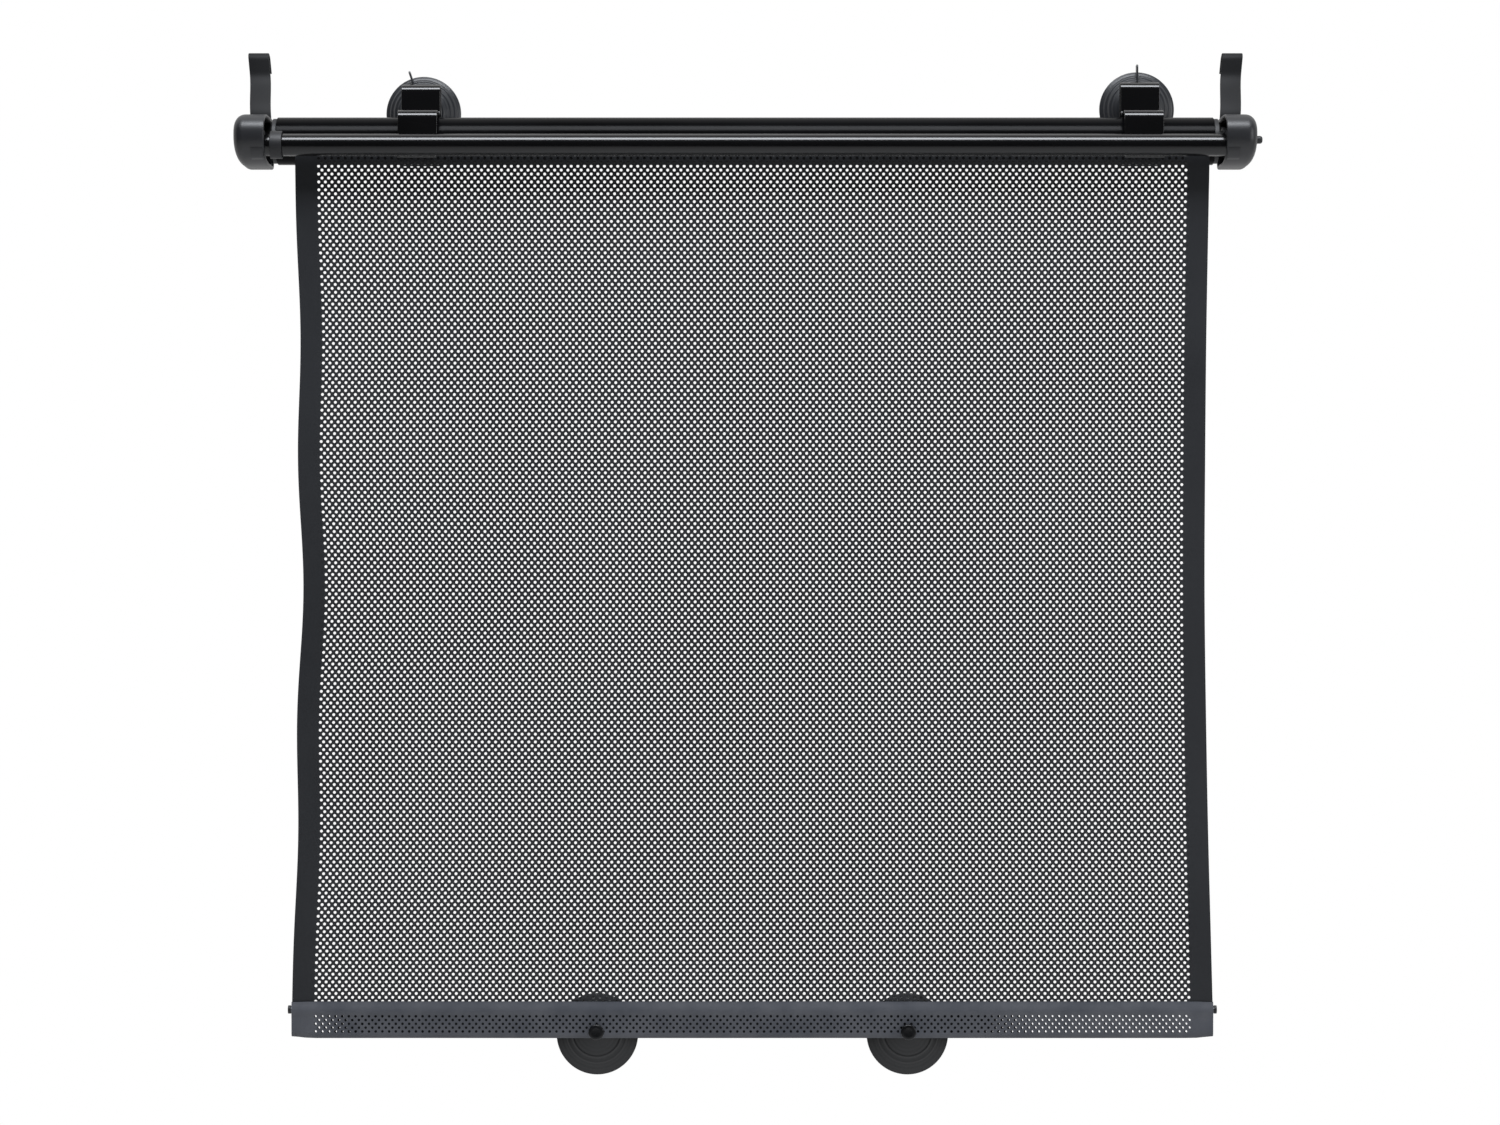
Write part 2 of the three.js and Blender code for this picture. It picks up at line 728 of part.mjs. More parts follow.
// Hem pocket: one folded strip with the rod at its top and the lower cups through its foot
const hemGap = filmThickness + 2 * fit;
const hemY = filmY(hemTop);
function hemPocket() {
  const half = (hemGap + hemThickness) / 2;
  const bulge = rodRadius + fit + hemThickness / 2;
  const foldZ = hemBottom + half + hemThickness / 2;
  const front = [
    [-half, hemTop],
    [-half - 0.3, rodZ + bulge + 0.6],
    ...arc(0, rodZ, bulge, 180 - hemGripAngle, 180 + hemGripAngle, 4),
    [-half - 0.1, rodZ - bulge - 1.2],
    [-half, foldZ],
  ];
  const fold = arc(0, foldZ, half, 180, 360, 4).slice(1, -1);
  const back = front.map(([y, z]) => [-y, z]).reverse();
  const line = [...front, ...fold, ...back].map(([y, z]) => [hemY + y, z]);
  const strip = extrudedX(
    stripOutline(line, hemThickness), filmCentreX - hemHalfWidth, filmCentreX + hemHalfWidth,
  );
  const holes = lowerCupCentres.map((x) => rodY(hemY - 4, hemY + 4, cupNeckRadius + fit, x, hemNeckZ));
  add("hem_pocket", holes.reduce((body, hole) => body.subtract(hole), strip), finishes.film);
  return { plateBack: hemY + half + hemThickness / 2, plateFront: hemY - half - hemThickness / 2 };
}
const lowerCupCentres = [-0.5, 0.5].map((share) => filmCentreX + share * lowerCupSpacing);
const { plateBack, plateFront } = hemPocket();

const rodHalfLength = hemHalfWidth + rodProud;
add(
  "hem_rod",
  rodX(filmCentreX - rodHalfLength, filmCentreX + rodHalfLength, rodRadius, hemY, rodZ, 16),
  finishes.steel,
);
for (const [side, name] of [[-1, "left_rod_tip"], [1, "right_rod_tip"]]) {
  const near = filmCentreX + side * (hemHalfWidth + fit);
  const far = near + side * rodTipLength;
  const plug = filmCentreX + side * (rodHalfLength + fit);
  const tip = rodX(Math.min(near, far), Math.max(near, far), rodTipRadius, hemY, rodZ, 16);
  const mouth = near - side;
  const recess = rodX(Math.min(mouth, plug), Math.max(mouth, plug), rodRadius + fit, hemY, rodZ, 16);
  add(name, tip.subtract(recess), finishes.plug);
}

lowerCupCentres.forEach((x, i) => {
  suctionCup(
    `lower_${["left", "right"][i]}_cup`, x, hemNeckZ, lowerCupRadius, lowerCupDepth,
    plateBack, plateFront, lowerCupSag,
  );
});

export default group;
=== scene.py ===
"""Roller sunshade for a car side window, drawn out and hung on the glass.

The frame gives every rigid piece its place. This script makes the fine surfaces: the punched film, the
folded hem, the ringed suction cups, the soft-edged caps and the bent strips, and finishes them all.
"""

import logging
import math
from collections.abc import Callable
from dataclasses import dataclass, replace
from enum import Enum

import bpy
import numpy as np
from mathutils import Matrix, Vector


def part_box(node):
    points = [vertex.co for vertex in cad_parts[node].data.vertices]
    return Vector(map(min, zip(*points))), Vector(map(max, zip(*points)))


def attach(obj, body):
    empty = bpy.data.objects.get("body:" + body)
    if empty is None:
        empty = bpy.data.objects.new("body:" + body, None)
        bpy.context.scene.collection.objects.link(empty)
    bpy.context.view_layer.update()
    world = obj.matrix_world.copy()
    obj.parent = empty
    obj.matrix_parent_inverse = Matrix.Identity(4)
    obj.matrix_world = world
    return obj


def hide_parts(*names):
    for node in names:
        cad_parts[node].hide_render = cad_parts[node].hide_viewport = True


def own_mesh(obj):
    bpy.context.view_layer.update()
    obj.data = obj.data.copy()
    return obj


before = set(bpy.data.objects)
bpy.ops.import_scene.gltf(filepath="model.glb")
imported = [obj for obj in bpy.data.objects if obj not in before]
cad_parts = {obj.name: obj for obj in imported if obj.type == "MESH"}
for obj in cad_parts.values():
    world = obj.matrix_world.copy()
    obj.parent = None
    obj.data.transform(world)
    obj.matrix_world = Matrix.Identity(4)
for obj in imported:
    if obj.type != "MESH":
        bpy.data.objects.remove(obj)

Surface = tuple[np.ndarray, np.ndarray]

log = logging.getLogger("sunshade")

MM = 0.001
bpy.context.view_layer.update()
SHARP_ANGLE = math.radians(38)
WELD_DECIMALS = 7


class Body(str, Enum):
    """The rigid bodies of the frame that pieces ride on."""

    FRAME = "frame"
    ROLLER = "roller"
    BUTTON = "button"
    LEFT_CLIP = "left_clip"
    RIGHT_CLIP = "right_clip"
    UPPER_LEFT_CUP = "upper_cup_left"
    UPPER_RIGHT_CUP = "upper_cup_right"
    HEM = "hem"
    LOWER_LEFT_CUP = "lower_cup_left"
    LOWER_RIGHT_CUP = "lower_cup_right"


class Slot(str, Enum):
    """The record's material slots."""

    CAP = "cap_plastic"
    RAIL = "rail_gloss"
    ROLLER = "roller_paint"
    PLUG = "plug_plastic"
    HOOK = "hook_plastic"
    CLIP = "clip_gloss"
    CUP = "cup_rubber"
    FILM = "film"
    STEEL = "steel"
    BUTTON = "button_plastic"


@dataclass(frozen=True)
class Span:
    """A CAD node's box, with the middles and sizes that new pieces are built from, in metres."""

    low: Vector
    high: Vector

    @classmethod
    def of(cls, node: str) -> "Span":
        """The box of a CAD node at rest.

        Args:
            node: The node's name.

        Returns:
            Its span.
        """
        low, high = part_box(node)
        return cls(low, high)

    @property
    def middle(self) -> Vector:
        """The middle of the box."""
        return (self.low + self.high) / 2

    @property
    def size(self) -> Vector:
        """The box's three sides."""
        return self.high - self.low


def weld(points: np.ndarray, faces: np.ndarray) -> tuple[np.ndarray, np.ndarray, np.ndarray]:
    """Merges points that coincide and drops what collapses.

    A quad whose two neighbouring corners coincide becomes a triangle, and one with fewer than three
    different corners goes. This closes seams and poles.

    Args:
        points: (n, 3) positions.
        faces: (m, 4) corner numbers.

    Returns:
        The merged positions, the quads and the triangles.
    """
    _, first, where = np.unique(
        np.round(points, WELD_DECIMALS), axis=0, return_index=True, return_inverse=True
    )
    merged = points[first]
    corners = where.reshape(-1)[faces]
    same = corners == np.roll(corners, -1, axis=1)
    count = same.sum(axis=1)
    quads = corners[count == 0]
    quads = quads[(quads[:, 0] != quads[:, 2]) & (quads[:, 1] != quads[:, 3])]
    thin = corners[count == 1]
    drop = same[count == 1].argmax(axis=1)
    keep = np.array([[1, 2, 3], [0, 2, 3], [0, 1, 3], [0, 1, 2]])[drop]
    triangles = np.take_along_axis(thin, keep, axis=1)
    return merged, quads, triangles


def make_mesh(name: str, points: np.ndarray, faces: np.ndarray) -> bpy.types.Object:
    """A smooth-shaded mesh object from positions and quads, with sharp edges kept sharp.

    Args:
        name: The piece's name.
        points: (n, 3) positions in metres, in the CAD frame.
        faces: (m, 4) corner numbers.

    Returns:
        The new object, at the origin.
    """
    merged, quads, triangles = weld(points, faces)
    mesh = bpy.data.meshes.new(name)
    mesh.vertices.add(len(merged))
    mesh.vertices.foreach_set("co", merged.astype(np.float32).ravel())
    loops = np.concatenate([quads.ravel(), triangles.ravel()]).astype(np.int32)
    mesh.loops.add(len(loops))
    mesh.loops.foreach_set("vertex_index", loops)
    sizes = np.concatenate([np.full(len(quads), 4), np.full(len(triangles), 3)]).astype(np.int32)
    starts = np.concatenate([[0], np.cumsum(sizes)[:-1]]).astype(np.int32)
    mesh.polygons.add(len(sizes))
    mesh.polygons.foreach_set("loop_start", starts)
    mesh.polygons.foreach_set("loop_total", sizes)
    mesh.update(calc_edges=True)
    mesh.validate()
    mesh.polygons.foreach_set("use_smooth", np.ones(len(mesh.polygons), bool))
    mesh.set_sharp_from_angle(angle=SHARP_ANGLE)
    made = bpy.data.objects.new(name, mesh)
    bpy.context.scene.collection.objects.link(made)
    return made


def grid_faces(rows: int, columns: int, around: bool) -> np.ndarray:
    """The quads of a grid of points, row by row.

    Args:
        rows: Number of rows of points.
        columns: Number of points in a row.
        around: True if each row closes on itself.

    Returns:
        (m, 4) corner numbers.
    """
    row = np.arange(rows - 1)[:, None]
    column = np.arange(columns if around else columns - 1)[None, :]
    after = (column + 1) % columns
    a = row * columns + column
    b = row * columns + after
    return np.stack([a, b, b + columns, a + columns], axis=-1).reshape(-1, 4)


def softened(corners: np.ndarray, radius: float, steps: int = 4) -> np.ndarray:
    """An open line of points with each inner corner rounded.

    A corner P between A and B is replaced by the parabola (1-t)^2 S + 2t(1-t) P + t^2 E, where S and E
    lie a radius from P, or less on a short side.

    Args:
        corners: (n, 2) points.
        radius: How far from the corner the rounding starts.
        steps: Number of straight pieces in each rounding.

    Returns:
        (m, 2) points.
    """
    before = corners[:-2] - corners[1:-1]
    after = corners[2:] - corners[1:-1]
    length_before = np.linalg.norm(before, axis=1, keepdims=True)
    length_after = np.linalg.norm(after, axis=1, keepdims=True)
    reach = np.minimum(radius, 0.45 * np.minimum(length_before, length_after))
    start = corners[1:-1] + before / length_before * reach
    end = corners[1:-1] + after / length_after * reach
    t = np.linspace(0, 1, steps + 1)[None, :, None]
    curve = (1 - t) ** 2 * start[:, None] + 2 * t * (1 - t) * corners[1:-1, None] + t**2 * end[:, None]
    return np.concatenate([corners[:1], curve.reshape(-1, 2), corners[-1:]])


def arc(centre: tuple[float, float], radius: float, start: float, end: float, steps: int) -> np.ndarray:
    """Points on a circle, at centre + radius (cos a, sin a).

    Args:
        centre: The circle's middle.
        radius: Its radius.
        start: The first angle, in degrees.
        end: The last angle, in degrees.
        steps: Number of straight pieces.

    Returns:
        (steps + 1, 2) points.
    """
    angle = np.radians(np.linspace(start, end, steps + 1))
    return np.stack([centre[0] + radius * np.cos(angle), centre[1] + radius * np.sin(angle)], axis=1)


def turned_about_x(profile: np.ndarray, y: float, z: float, sides: int) -> Surface:
    """A profile of [x, radius] turned about a line parallel to X.

    Each point goes to (x, y + r cos a, z + r sin a) for angles a all round.

    Args:
        profile: (n, 2) points, in the order that leaves the surface facing out.
        y: The axis in Y.
        z: The axis in Z.
        sides: Number of points round the axis.

    Returns:
        Positions and quads.
    """
    angle = np.linspace(0, 2 * math.pi, sides, endpoint=False)
    along, radius = profile[:, 0:1], profile[:, 1:2]
    grid = np.stack(
        [
            np.broadcast_to(along, (len(profile), sides)),
            y + radius * np.cos(angle),
            z + radius * np.sin(angle),
        ],
        axis=-1,
    )
    return grid.reshape(-1, 3), grid_faces(len(profile), sides, True)


def turned_about_y(
    profile: np.ndarray, x: float, z: float, sides: int,
    shift: Callable[[np.ndarray], np.ndarray] | None = None,
) -> Surface:
    """A profile of [radius, y] turned about a line parallel to Y.

    Each point goes to (x + r sin a, y, z + r cos a), and shift adds to z by y where it is given.

    Args:
        profile: (n, 2) points.
        x: The axis in X.
        z: The axis in Z.
        sides: Number of points round the axis.
        shift: A function of y that gives what to add to z.

    Returns:
        Positions and quads.
    """
    angle = np.linspace(0, 2 * math.pi, sides, endpoint=False)
    radius, along = profile[:, 0:1], profile[:, 1:2]
    lift = shift(along) if shift else np.zeros_like(along)
    grid = np.stack(
        [
            x + radius * np.sin(angle),
            np.broadcast_to(along, (len(profile), sides)),
            z + lift + radius * np.cos(angle),
        ],
        axis=-1,
    )
    return grid.reshape(-1, 3), grid_faces(len(profile), sides, True)


def joined(*parts: Surface) -> Surface:
    """Several surfaces as one.

    Args:
        *parts: Positions and quads of each surface.

    Returns:
        One set of positions and quads.
    """
    starts = np.cumsum([0] + [len(points) for points, _ in parts[:-1]])
    points = np.concatenate([points for points, _ in parts])
    faces = np.concatenate([faces + start for (_, faces), start in zip(parts, starts)])
    return points, faces


def face_outward(made: bpy.types.Object) -> None:
    """Turns the faces of a closed mesh outward, by flipping them where its volume comes out negative.

    Args:
        made: The piece, changed in place.
    """
    mesh = made.data
    mesh.calc_loop_triangles()
    corners = np.zeros(len(mesh.loop_triangles) * 3, np.int32)
    mesh.loop_triangles.foreach_get("vertices", corners)
    points = np.zeros(len(mesh.vertices) * 3, np.float32)
    mesh.vertices.foreach_get("co", points)
    a, b, c = points.reshape(-1, 3)[corners.reshape(-1, 3)].transpose(1, 0, 2)
    if np.einsum("ij,ij->i", a, np.cross(b, c)).sum() < 0:
        mesh.flip_normals()


# Shader groups shared by the finishes


def shader_group(
    name: str, inputs: dict[str, tuple[str, object]], outputs: dict[str, str]
) -> tuple[bpy.types.ShaderNodeTree, bpy.types.Node, bpy.types.Node]:
    """An empty shader node group with named sockets.

    Args:
        name: The group's name.
        inputs: Socket name to its type and default.
        outputs: Socket name to its type.

    Returns:
        The group, its input node and its output node.
    """
    group = bpy.data.node_groups.new(name, "ShaderNodeTree")
    for socket, (kind, default) in inputs.items():
        made = group.interface.new_socket(socket, in_out="INPUT", socket_type=kind)
        if default is not None:
            made.default_value = default
    for socket, kind in outputs.items():
        group.interface.new_socket(socket, in_out="OUTPUT", socket_type=kind)
    return group, group.nodes.new("NodeGroupInput"), group.nodes.new("NodeGroupOutput")


def make_grain_group() -> bpy.types.ShaderNodeTree:
    """Moulded grain: a height from fine noise, for a Bump node.

    Returns:
        The group, with Vector and Scale in, Height out.
    """
    group, source, sink = shader_group(
        "moulded_grain",
        {"Vector": ("NodeSocketVector", None), "Scale": ("NodeSocketFloat", 900.0)},
        {"Height": "NodeSocketFloat"},
    )
    noise = group.nodes.new("ShaderNodeTexNoise")
    noise.inputs["Detail"].default_value = 3.0
    group.links.new(source.outputs["Vector"], noise.inputs["Vector"])
    group.links.new(source.outputs["Scale"], noise.inputs["Scale"])
    group.links.new(noise.outputs["Fac"], sink.inputs["Height"])
    return group


def make_handling_group() -> bpy.types.ShaderNodeTree:
    """Handling: roughness that wanders over the surface as light finger marks do.

    Returns:
        The group, with Vector, Scale, Roughness and Spread in, Roughness out.
    """
    group, source, sink = shader_group(
        "handling_marks",
        {
            "Vector": ("NodeSocketVector", None),
            "Scale": ("NodeSocketFloat", 30.0),
            "Roughness": ("NodeSocketFloat", 0.5),
            "Spread": ("NodeSocketFloat", 0.08),
        },
        {"Roughness": "NodeSocketFloat"},
    )
    noise = group.nodes.new("ShaderNodeTexNoise")
    noise.inputs["Detail"].default_value = 4.0
    centred = group.nodes.new("ShaderNodeMath")
    centred.operation = "SUBTRACT"
    centred.inputs[1].default_value = 0.5
    spread = group.nodes.new("ShaderNodeMath")
    spread.operation = "MULTIPLY_ADD"
    group.links.new(source.outputs["Vector"], noise.inputs["Vector"])
    group.links.new(source.outputs["Scale"], noise.inputs["Scale"])
    group.links.new(noise.outputs["Fac"], centred.inputs[0])
    group.links.new(centred.outputs[0], spread.inputs[0])
    group.links.new(source.outputs["Spread"], spread.inputs[1])
    group.links.new(source.outputs["Roughness"], spread.inputs[2])
    group.links.new(spread.outputs[0], sink.inputs["Roughness"])
    return group


def make_tone_group() -> bpy.types.ShaderNodeTree:
    """Tone: a colour mixed with a second one by slow noise, as pigment and sheen vary.

    Returns:
        The group, with Vector, Scale, Color, Shade and Amount in, Color out.
    """
    group, source, sink = shader_group(
        "pigment_tone",
        {
            "Vector": ("NodeSocketVector", None),
            "Scale": ("NodeSocketFloat", 12.0),
            "Color": ("NodeSocketColor", (0.03, 0.03, 0.03, 1.0)),
            "Shade": ("NodeSocketColor", (0.02, 0.02, 0.02, 1.0)),
            "Amount": ("NodeSocketFloat", 1.0),
        },
        {"Color": "NodeSocketColor"},
    )
    noise = group.nodes.new("ShaderNodeTexNoise")
    noise.inputs["Detail"].default_value = 5.0
    reach = group.nodes.new("ShaderNodeMapRange")
    reach.inputs["From Min"].default_value = 0.35
    reach.inputs["From Max"].default_value = 0.65
    scaled = group.nodes.new("ShaderNodeMath")
    scaled.operation = "MULTIPLY"
    mix = group.nodes.new("ShaderNodeMix")
    mix.data_type = "RGBA"
    group.links.new(source.outputs["Vector"], noise.inputs["Vector"])
    group.links.new(source.outputs["Scale"], noise.inputs["Scale"])
    group.links.new(noise.outputs["Fac"], reach.inputs["Value"])
    group.links.new(reach.outputs["Result"], scaled.inputs[0])
    group.links.new(source.outputs["Amount"], scaled.inputs[1])
    group.links.new(scaled.outputs[0], mix.inputs["Factor"])
    group.links.new(source.outputs["Color"], mix.inputs["A"])
    group.links.new(source.outputs["Shade"], mix.inputs["B"])
    group.links.new(mix.outputs["Result"], sink.inputs["Color"])
    return group


@dataclass(frozen=True)
class Finish:
    """One finish: colour, gloss and grain, made into a material once."""

    name: str
    colour: tuple[float, float, float]
    shade: tuple[float, float, float]
    roughness: float
    spread: float = 0.06
    specular: float = 0.5
    metallic: float = 0.0
    coat: float = 0.0
    coat_roughness: float = 0.05
    grain_scale: float = 1200.0
    grain_depth: float = 0.02 * MM
    tone_scale: float = 14.0
    marks_scale: float = 40.0
    # Painted shade: a dark colour for all that lies behind a plane of constant Y, standing in for the shade
    # inside a fold.
    rear_painted_shade: tuple[float, float, float] | None = None
    painted_shade_from_y: float = 0.0

    def material(self) -> bpy.types.Material:
        """The Blender material for this finish, made the first time that it is asked for.

        Returns:
            The material.
        """
        found = bpy.data.materials.get(self.name)
        if found:
            return found
        made = bpy.data.materials.new(self.name)
        made.use_nodes = True
        tree = made.node_tree
        shader = tree.nodes["Principled BSDF"]
        place = tree.nodes.new("ShaderNodeTexCoord")
        tone = self._group(tree, "pigment_tone", place, self.tone_scale)
        tone.inputs["Color"].default_value = (*self.colour, 1)
        tone.inputs["Shade"].default_value = (*self.shade, 1)
        marks = self._group(tree, "handling_marks", place, self.marks_scale)
        marks.inputs["Roughness"].default_value = self.roughness
        marks.inputs["Spread"].default_value = self.spread
        grain = self._group(tree, "moulded_grain", place, self.grain_scale)
        bump = tree.nodes.new("ShaderNodeBump")
        bump.inputs["Distance"].default_value = self.grain_depth
        colour = self._painted_rear_shade(tree, place, tone) if self.rear_painted_shade else tone.outputs["Color"]
        tree.links.new(colour, shader.inputs["Base Color"])
        tree.links.new(marks.outputs["Roughness"], shader.inputs["Roughness"])
        tree.links.new(grain.outputs["Height"], bump.inputs["Height"])
        tree.links.new(bump.outputs["Normal"], shader.inputs["Normal"])
        shader.inputs["Metallic"].default_value = self.metallic
        shader.inputs["Specular IOR Level"].default_value = self.specular
        shader.inputs["Coat Weight"].default_value = self.coat
        shader.inputs["Coat Roughness"].default_value = self.coat_roughness
        return made

    def _painted_rear_shade(
        self, tree: bpy.types.NodeTree, place: bpy.types.Node, tone: bpy.types.Node
    ) -> bpy.types.NodeSocket:
        """Paints shade: gives all that lies behind a plane of constant Y a dark colour, which stands in for
        the shade inside a fold.

        Args:
            tree: The material's nodes.
            place: The node that gives Object coordinates.
            tone: The node that gives the front's colour.

        Returns:
            The socket with the mixed colour.
        """
        axes = tree.nodes.new("ShaderNodeSeparateXYZ")
        behind = tree.nodes.new("ShaderNodeMath")
        behind.operation = "GREATER_THAN"
        behind.inputs[1].default_value = self.painted_shade_from_y
        mix = tree.nodes.new("ShaderNodeMix")
        mix.data_type = "RGBA"
        mix.inputs["B"].default_value = (*self.rear_painted_shade, 1)
        tree.links.new(place.outputs["Object"], axes.inputs["Vector"])
        tree.links.new(axes.outputs["Y"], behind.inputs[0])
        tree.links.new(behind.outputs[0], mix.inputs["Factor"])
        tree.links.new(tone.outputs["Color"], mix.inputs["A"])
        return mix.outputs["Result"]

    @staticmethod
    def _group(
        tree: bpy.types.NodeTree, name: str, place: bpy.types.Node, scale: float
    ) -> bpy.types.Node:
        """Places a shared group, fed with Object coordinates at a scale.

        Args:
            tree: The material's nodes.
            name: The group's name.
            place: The node that gives Object coordinates.
            scale: How many of the pattern's features fit in a metre.

        Returns:
            The group's node.
        """
        node = tree.nodes.new("ShaderNodeGroup")
        node.node_tree = bpy.data.node_groups[name]
        node.inputs["Scale"].default_value = scale
        tree.links.new(place.outputs["Object"], node.inputs["Vector"])
        return node


CAP_FINISH = Finish(
    "cap_moulded_black", (0.009, 0.0096, 0.012), (0.013, 0.0138, 0.017), 0.44, specular=0.7,
    grain_scale=1500.0, grain_depth=0.03 * MM,
)
RAIL_FINISH = Finish(
    "rail_gloss_black", (0.0018, 0.0018, 0.0022), (0.003, 0.003, 0.0035), 0.19, spread=0.03,
    specular=0.5, coat=0.12, grain_depth=0.0,
)
ROLLER_FINISH = Finish(
    "roller_satin_paint", (0.0022, 0.0022, 0.0025), (0.004, 0.004, 0.0045), 0.18, spread=0.04,
    specular=0.05, grain_depth=0.002 * MM,
)
PLUG_FINISH = Finish("plug_matt_black", (0.012, 0.0125, 0.014), (0.018, 0.018, 0.02), 0.5)
HOOK_FINISH = Finish(
    "hook_matt_strip", (0.008, 0.0083, 0.009), (0.012, 0.0123, 0.0133), 0.6, specular=0.22,
    grain_scale=1800.0, grain_depth=0.03 * MM,
)
CLIP_FINISH = Finish(
    "clip_gloss_strip", (0.0022, 0.0023, 0.0025), (0.004, 0.004, 0.0045), 0.14, spread=0.04,
    coat=0.15, grain_depth=0.003 * MM,
)
UPPER_CUP_FINISH = Finish(
    "upper_cup_vinyl", (0.018, 0.0195, 0.022), (0.026, 0.0275, 0.031), 0.34,
    grain_scale=700.0, grain_depth=0.02 * MM,
)
LOWER_CUP_FINISH = Finish(
    "lower_cup_vinyl", (0.004, 0.0043, 0.005), (0.007, 0.0074, 0.0085), 0.30,
    grain_scale=700.0, grain_depth=0.02 * MM,
)
FILM_FINISH = Finish(
    "film_punched_black", (0.024, 0.0255, 0.029), (0.031, 0.033, 0.037), 0.42, spread=0.1,
    grain_scale=2500.0, grain_depth=0.02 * MM, tone_scale=9.0,
)
# The hem's base colour is lighter than the film's: partly the strip's own tone, partly painted sheen of its
# satin fold.
HEM_SHEEN_AND_SHADE_FINISH = Finish(
    "hem_film_painted_sheen_and_shade", (0.082, 0.088, 0.104), (0.115, 0.120, 0.136), 0.45, spread=0.1,
    grain_scale=2200.0, grain_depth=0.04 * MM, tone_scale=60.0,
    # Painted shade for the back layer inside the fold.
    rear_painted_shade=(0.006, 0.0062, 0.007),
)
STEEL_FINISH = Finish(
    "plain_steel", (0.30, 0.31, 0.32), (0.22, 0.225, 0.235), 0.35, metallic=1.0,
)
BUTTON_FINISH = Finish("button_satin_black", (0.020, 0.021, 0.022), (0.026, 0.027, 0.029), 0.45)


def dress(
    made: bpy.types.Object, finish: Finish, slot: Slot, body: Body, *nodes: str
) -> bpy.types.Object:
    """Gives a new piece its finish and its body, and hides the nodes that it stands for.

    Args:
        made: The piece.
        finish: Its finish.
        slot: The record's material slot; not used.
        body: The body that it rides on.
        *nodes: CAD nodes that it replaces.

    Returns:
        The piece.
    """
    made.data.materials.clear()
    made.data.materials.append(finish.material())
    if nodes:
        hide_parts(*nodes)
    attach(made, body.value)
    log.info("%s: %d faces on %s", made.name, len(made.data.polygons), body.value)
    return made


@dataclass(frozen=True)
class HoleLattice:
    """Staggered round holes: each hole is an octagon, and the web between them is all quads.

    Rows follow one another at a spacing, and every other row is shifted by half a pitch. Beyond the
    holes stand cells whose octagon has shrunk to a point, which carry the plain margins.
    """

    pitch: float
    row_spacing: float
    diameter: float
    corners: int = 8

    def surface(
        self, across: tuple[float, float], margin: float, length: float,
        punched: Callable[[np.ndarray, np.ndarray], np.ndarray], margin_columns: int = 3,
    ) -> tuple[np.ndarray, np.ndarray, np.ndarray, np.ndarray]:
        """The lattice on a flat sheet, before it is bent.

        A cell's corners stand at centre + r (cos a, sin a), with a = 22.5, 67.5, ... degrees. Five quads
        join each cell to its right, upper right and upper left neighbours.

        Args:
            across: The sheet's left and right edges.
            margin: Width of the plain strip along each side.
            length: The sheet's length down from its top.
            punched: A function of cell centres (u, v) that says which are holes.
            margin_columns: Columns of points across each margin.

        Returns:
            u and v of each point, the quads, and the row that each quad starts in.
        """
        rows = int(round(length / self.row_spacing)) + 1
        row_step = length / (rows - 1)
        field = across[1] - across[0] - 2 * margin
        holes = int(field / self.pitch)
        start = (across[0] + across[1]) / 2 - (holes - 0.5) * self.pitch / 2
        shift = np.where(np.arange(rows) % 2, 0.5 * self.pitch, 0.0)[:, None]
        inner = start + np.arange(holes)[None, :] * self.pitch + shift
        steps = np.linspace(0, 1, margin_columns + 1)[None, :-1]
        left = across[0] + steps * (inner[:, :1] - self.pitch / 2 - across[0])
        right = across[1] - steps[:, ::-1] * (across[1] - inner[:, -1:] - self.pitch / 2)
        u = np.concatenate([left, inner, right], axis=1)
        v = np.broadcast_to((np.arange(rows) * row_step)[:, None], u.shape)
        is_hole = np.zeros(u.shape, bool)
        is_hole[1:-1, margin_columns:-margin_columns] = True
        is_hole &= punched(u, v)
        angle = math.pi / self.corners * (2 * np.arange(self.corners) + 1)
        radius = np.where(is_hole, self.diameter / 2, 0.0)[..., None]
        points_u = u[..., None] + radius * np.cos(angle)
        points_v = v[..., None] - radius * np.sin(angle)
        return points_u.ravel(), points_v.ravel(), *self._web(rows, u.shape[1])

    def _web(self, rows: int, columns: int) -> tuple[np.ndarray, np.ndarray]:
        """The quads between cells, and the row of each.

        Args:
            rows: Rows of cells, counted downwards.
            columns: Cells in a row.

        Returns:
            (m, 4) corner numbers, and the row numbers.
        """
        row, column = np.meshgrid(np.arange(rows), np.arange(columns), indexing="ij")
        odd = row % 2
        cell = (row * columns + column) * self.corners
        up = row - 1
        up_right = (up * columns + column + odd) * self.corners
        up_left = up_right - self.corners
        right = cell + self.corners
        has_right = column < columns - 1
        has_up_right = (up >= 0) & (column + odd < columns)
        has_up_left = (up >= 0) & (column + odd - 1 >= 0)
        recipes = [
            (has_right, (cell, 7), (right, 4), (right, 3), (cell, 0)),
            (has_up_right, (cell, 0), (up_right, 5), (up_right, 4), (cell, 1)),
            (has_up_left, (cell, 2), (up_left, 7), (up_left, 6), (cell, 3)),
            (has_right & has_up_right, (cell, 0), (right, 3), (up_right, 6), (up_right, 5)),
            (has_up_right & has_up_left, (cell, 1), (up_right, 4), (up_left, 7), (cell, 2)),
        ]
        faces, rows_of = [], []
        for where, *corners in recipes:
            faces.append(np.stack([base[where] + k for base, k in corners], axis=-1))
            rows_of.append(row[where])
        return np.concatenate(faces), np.concatenate(rows_of)


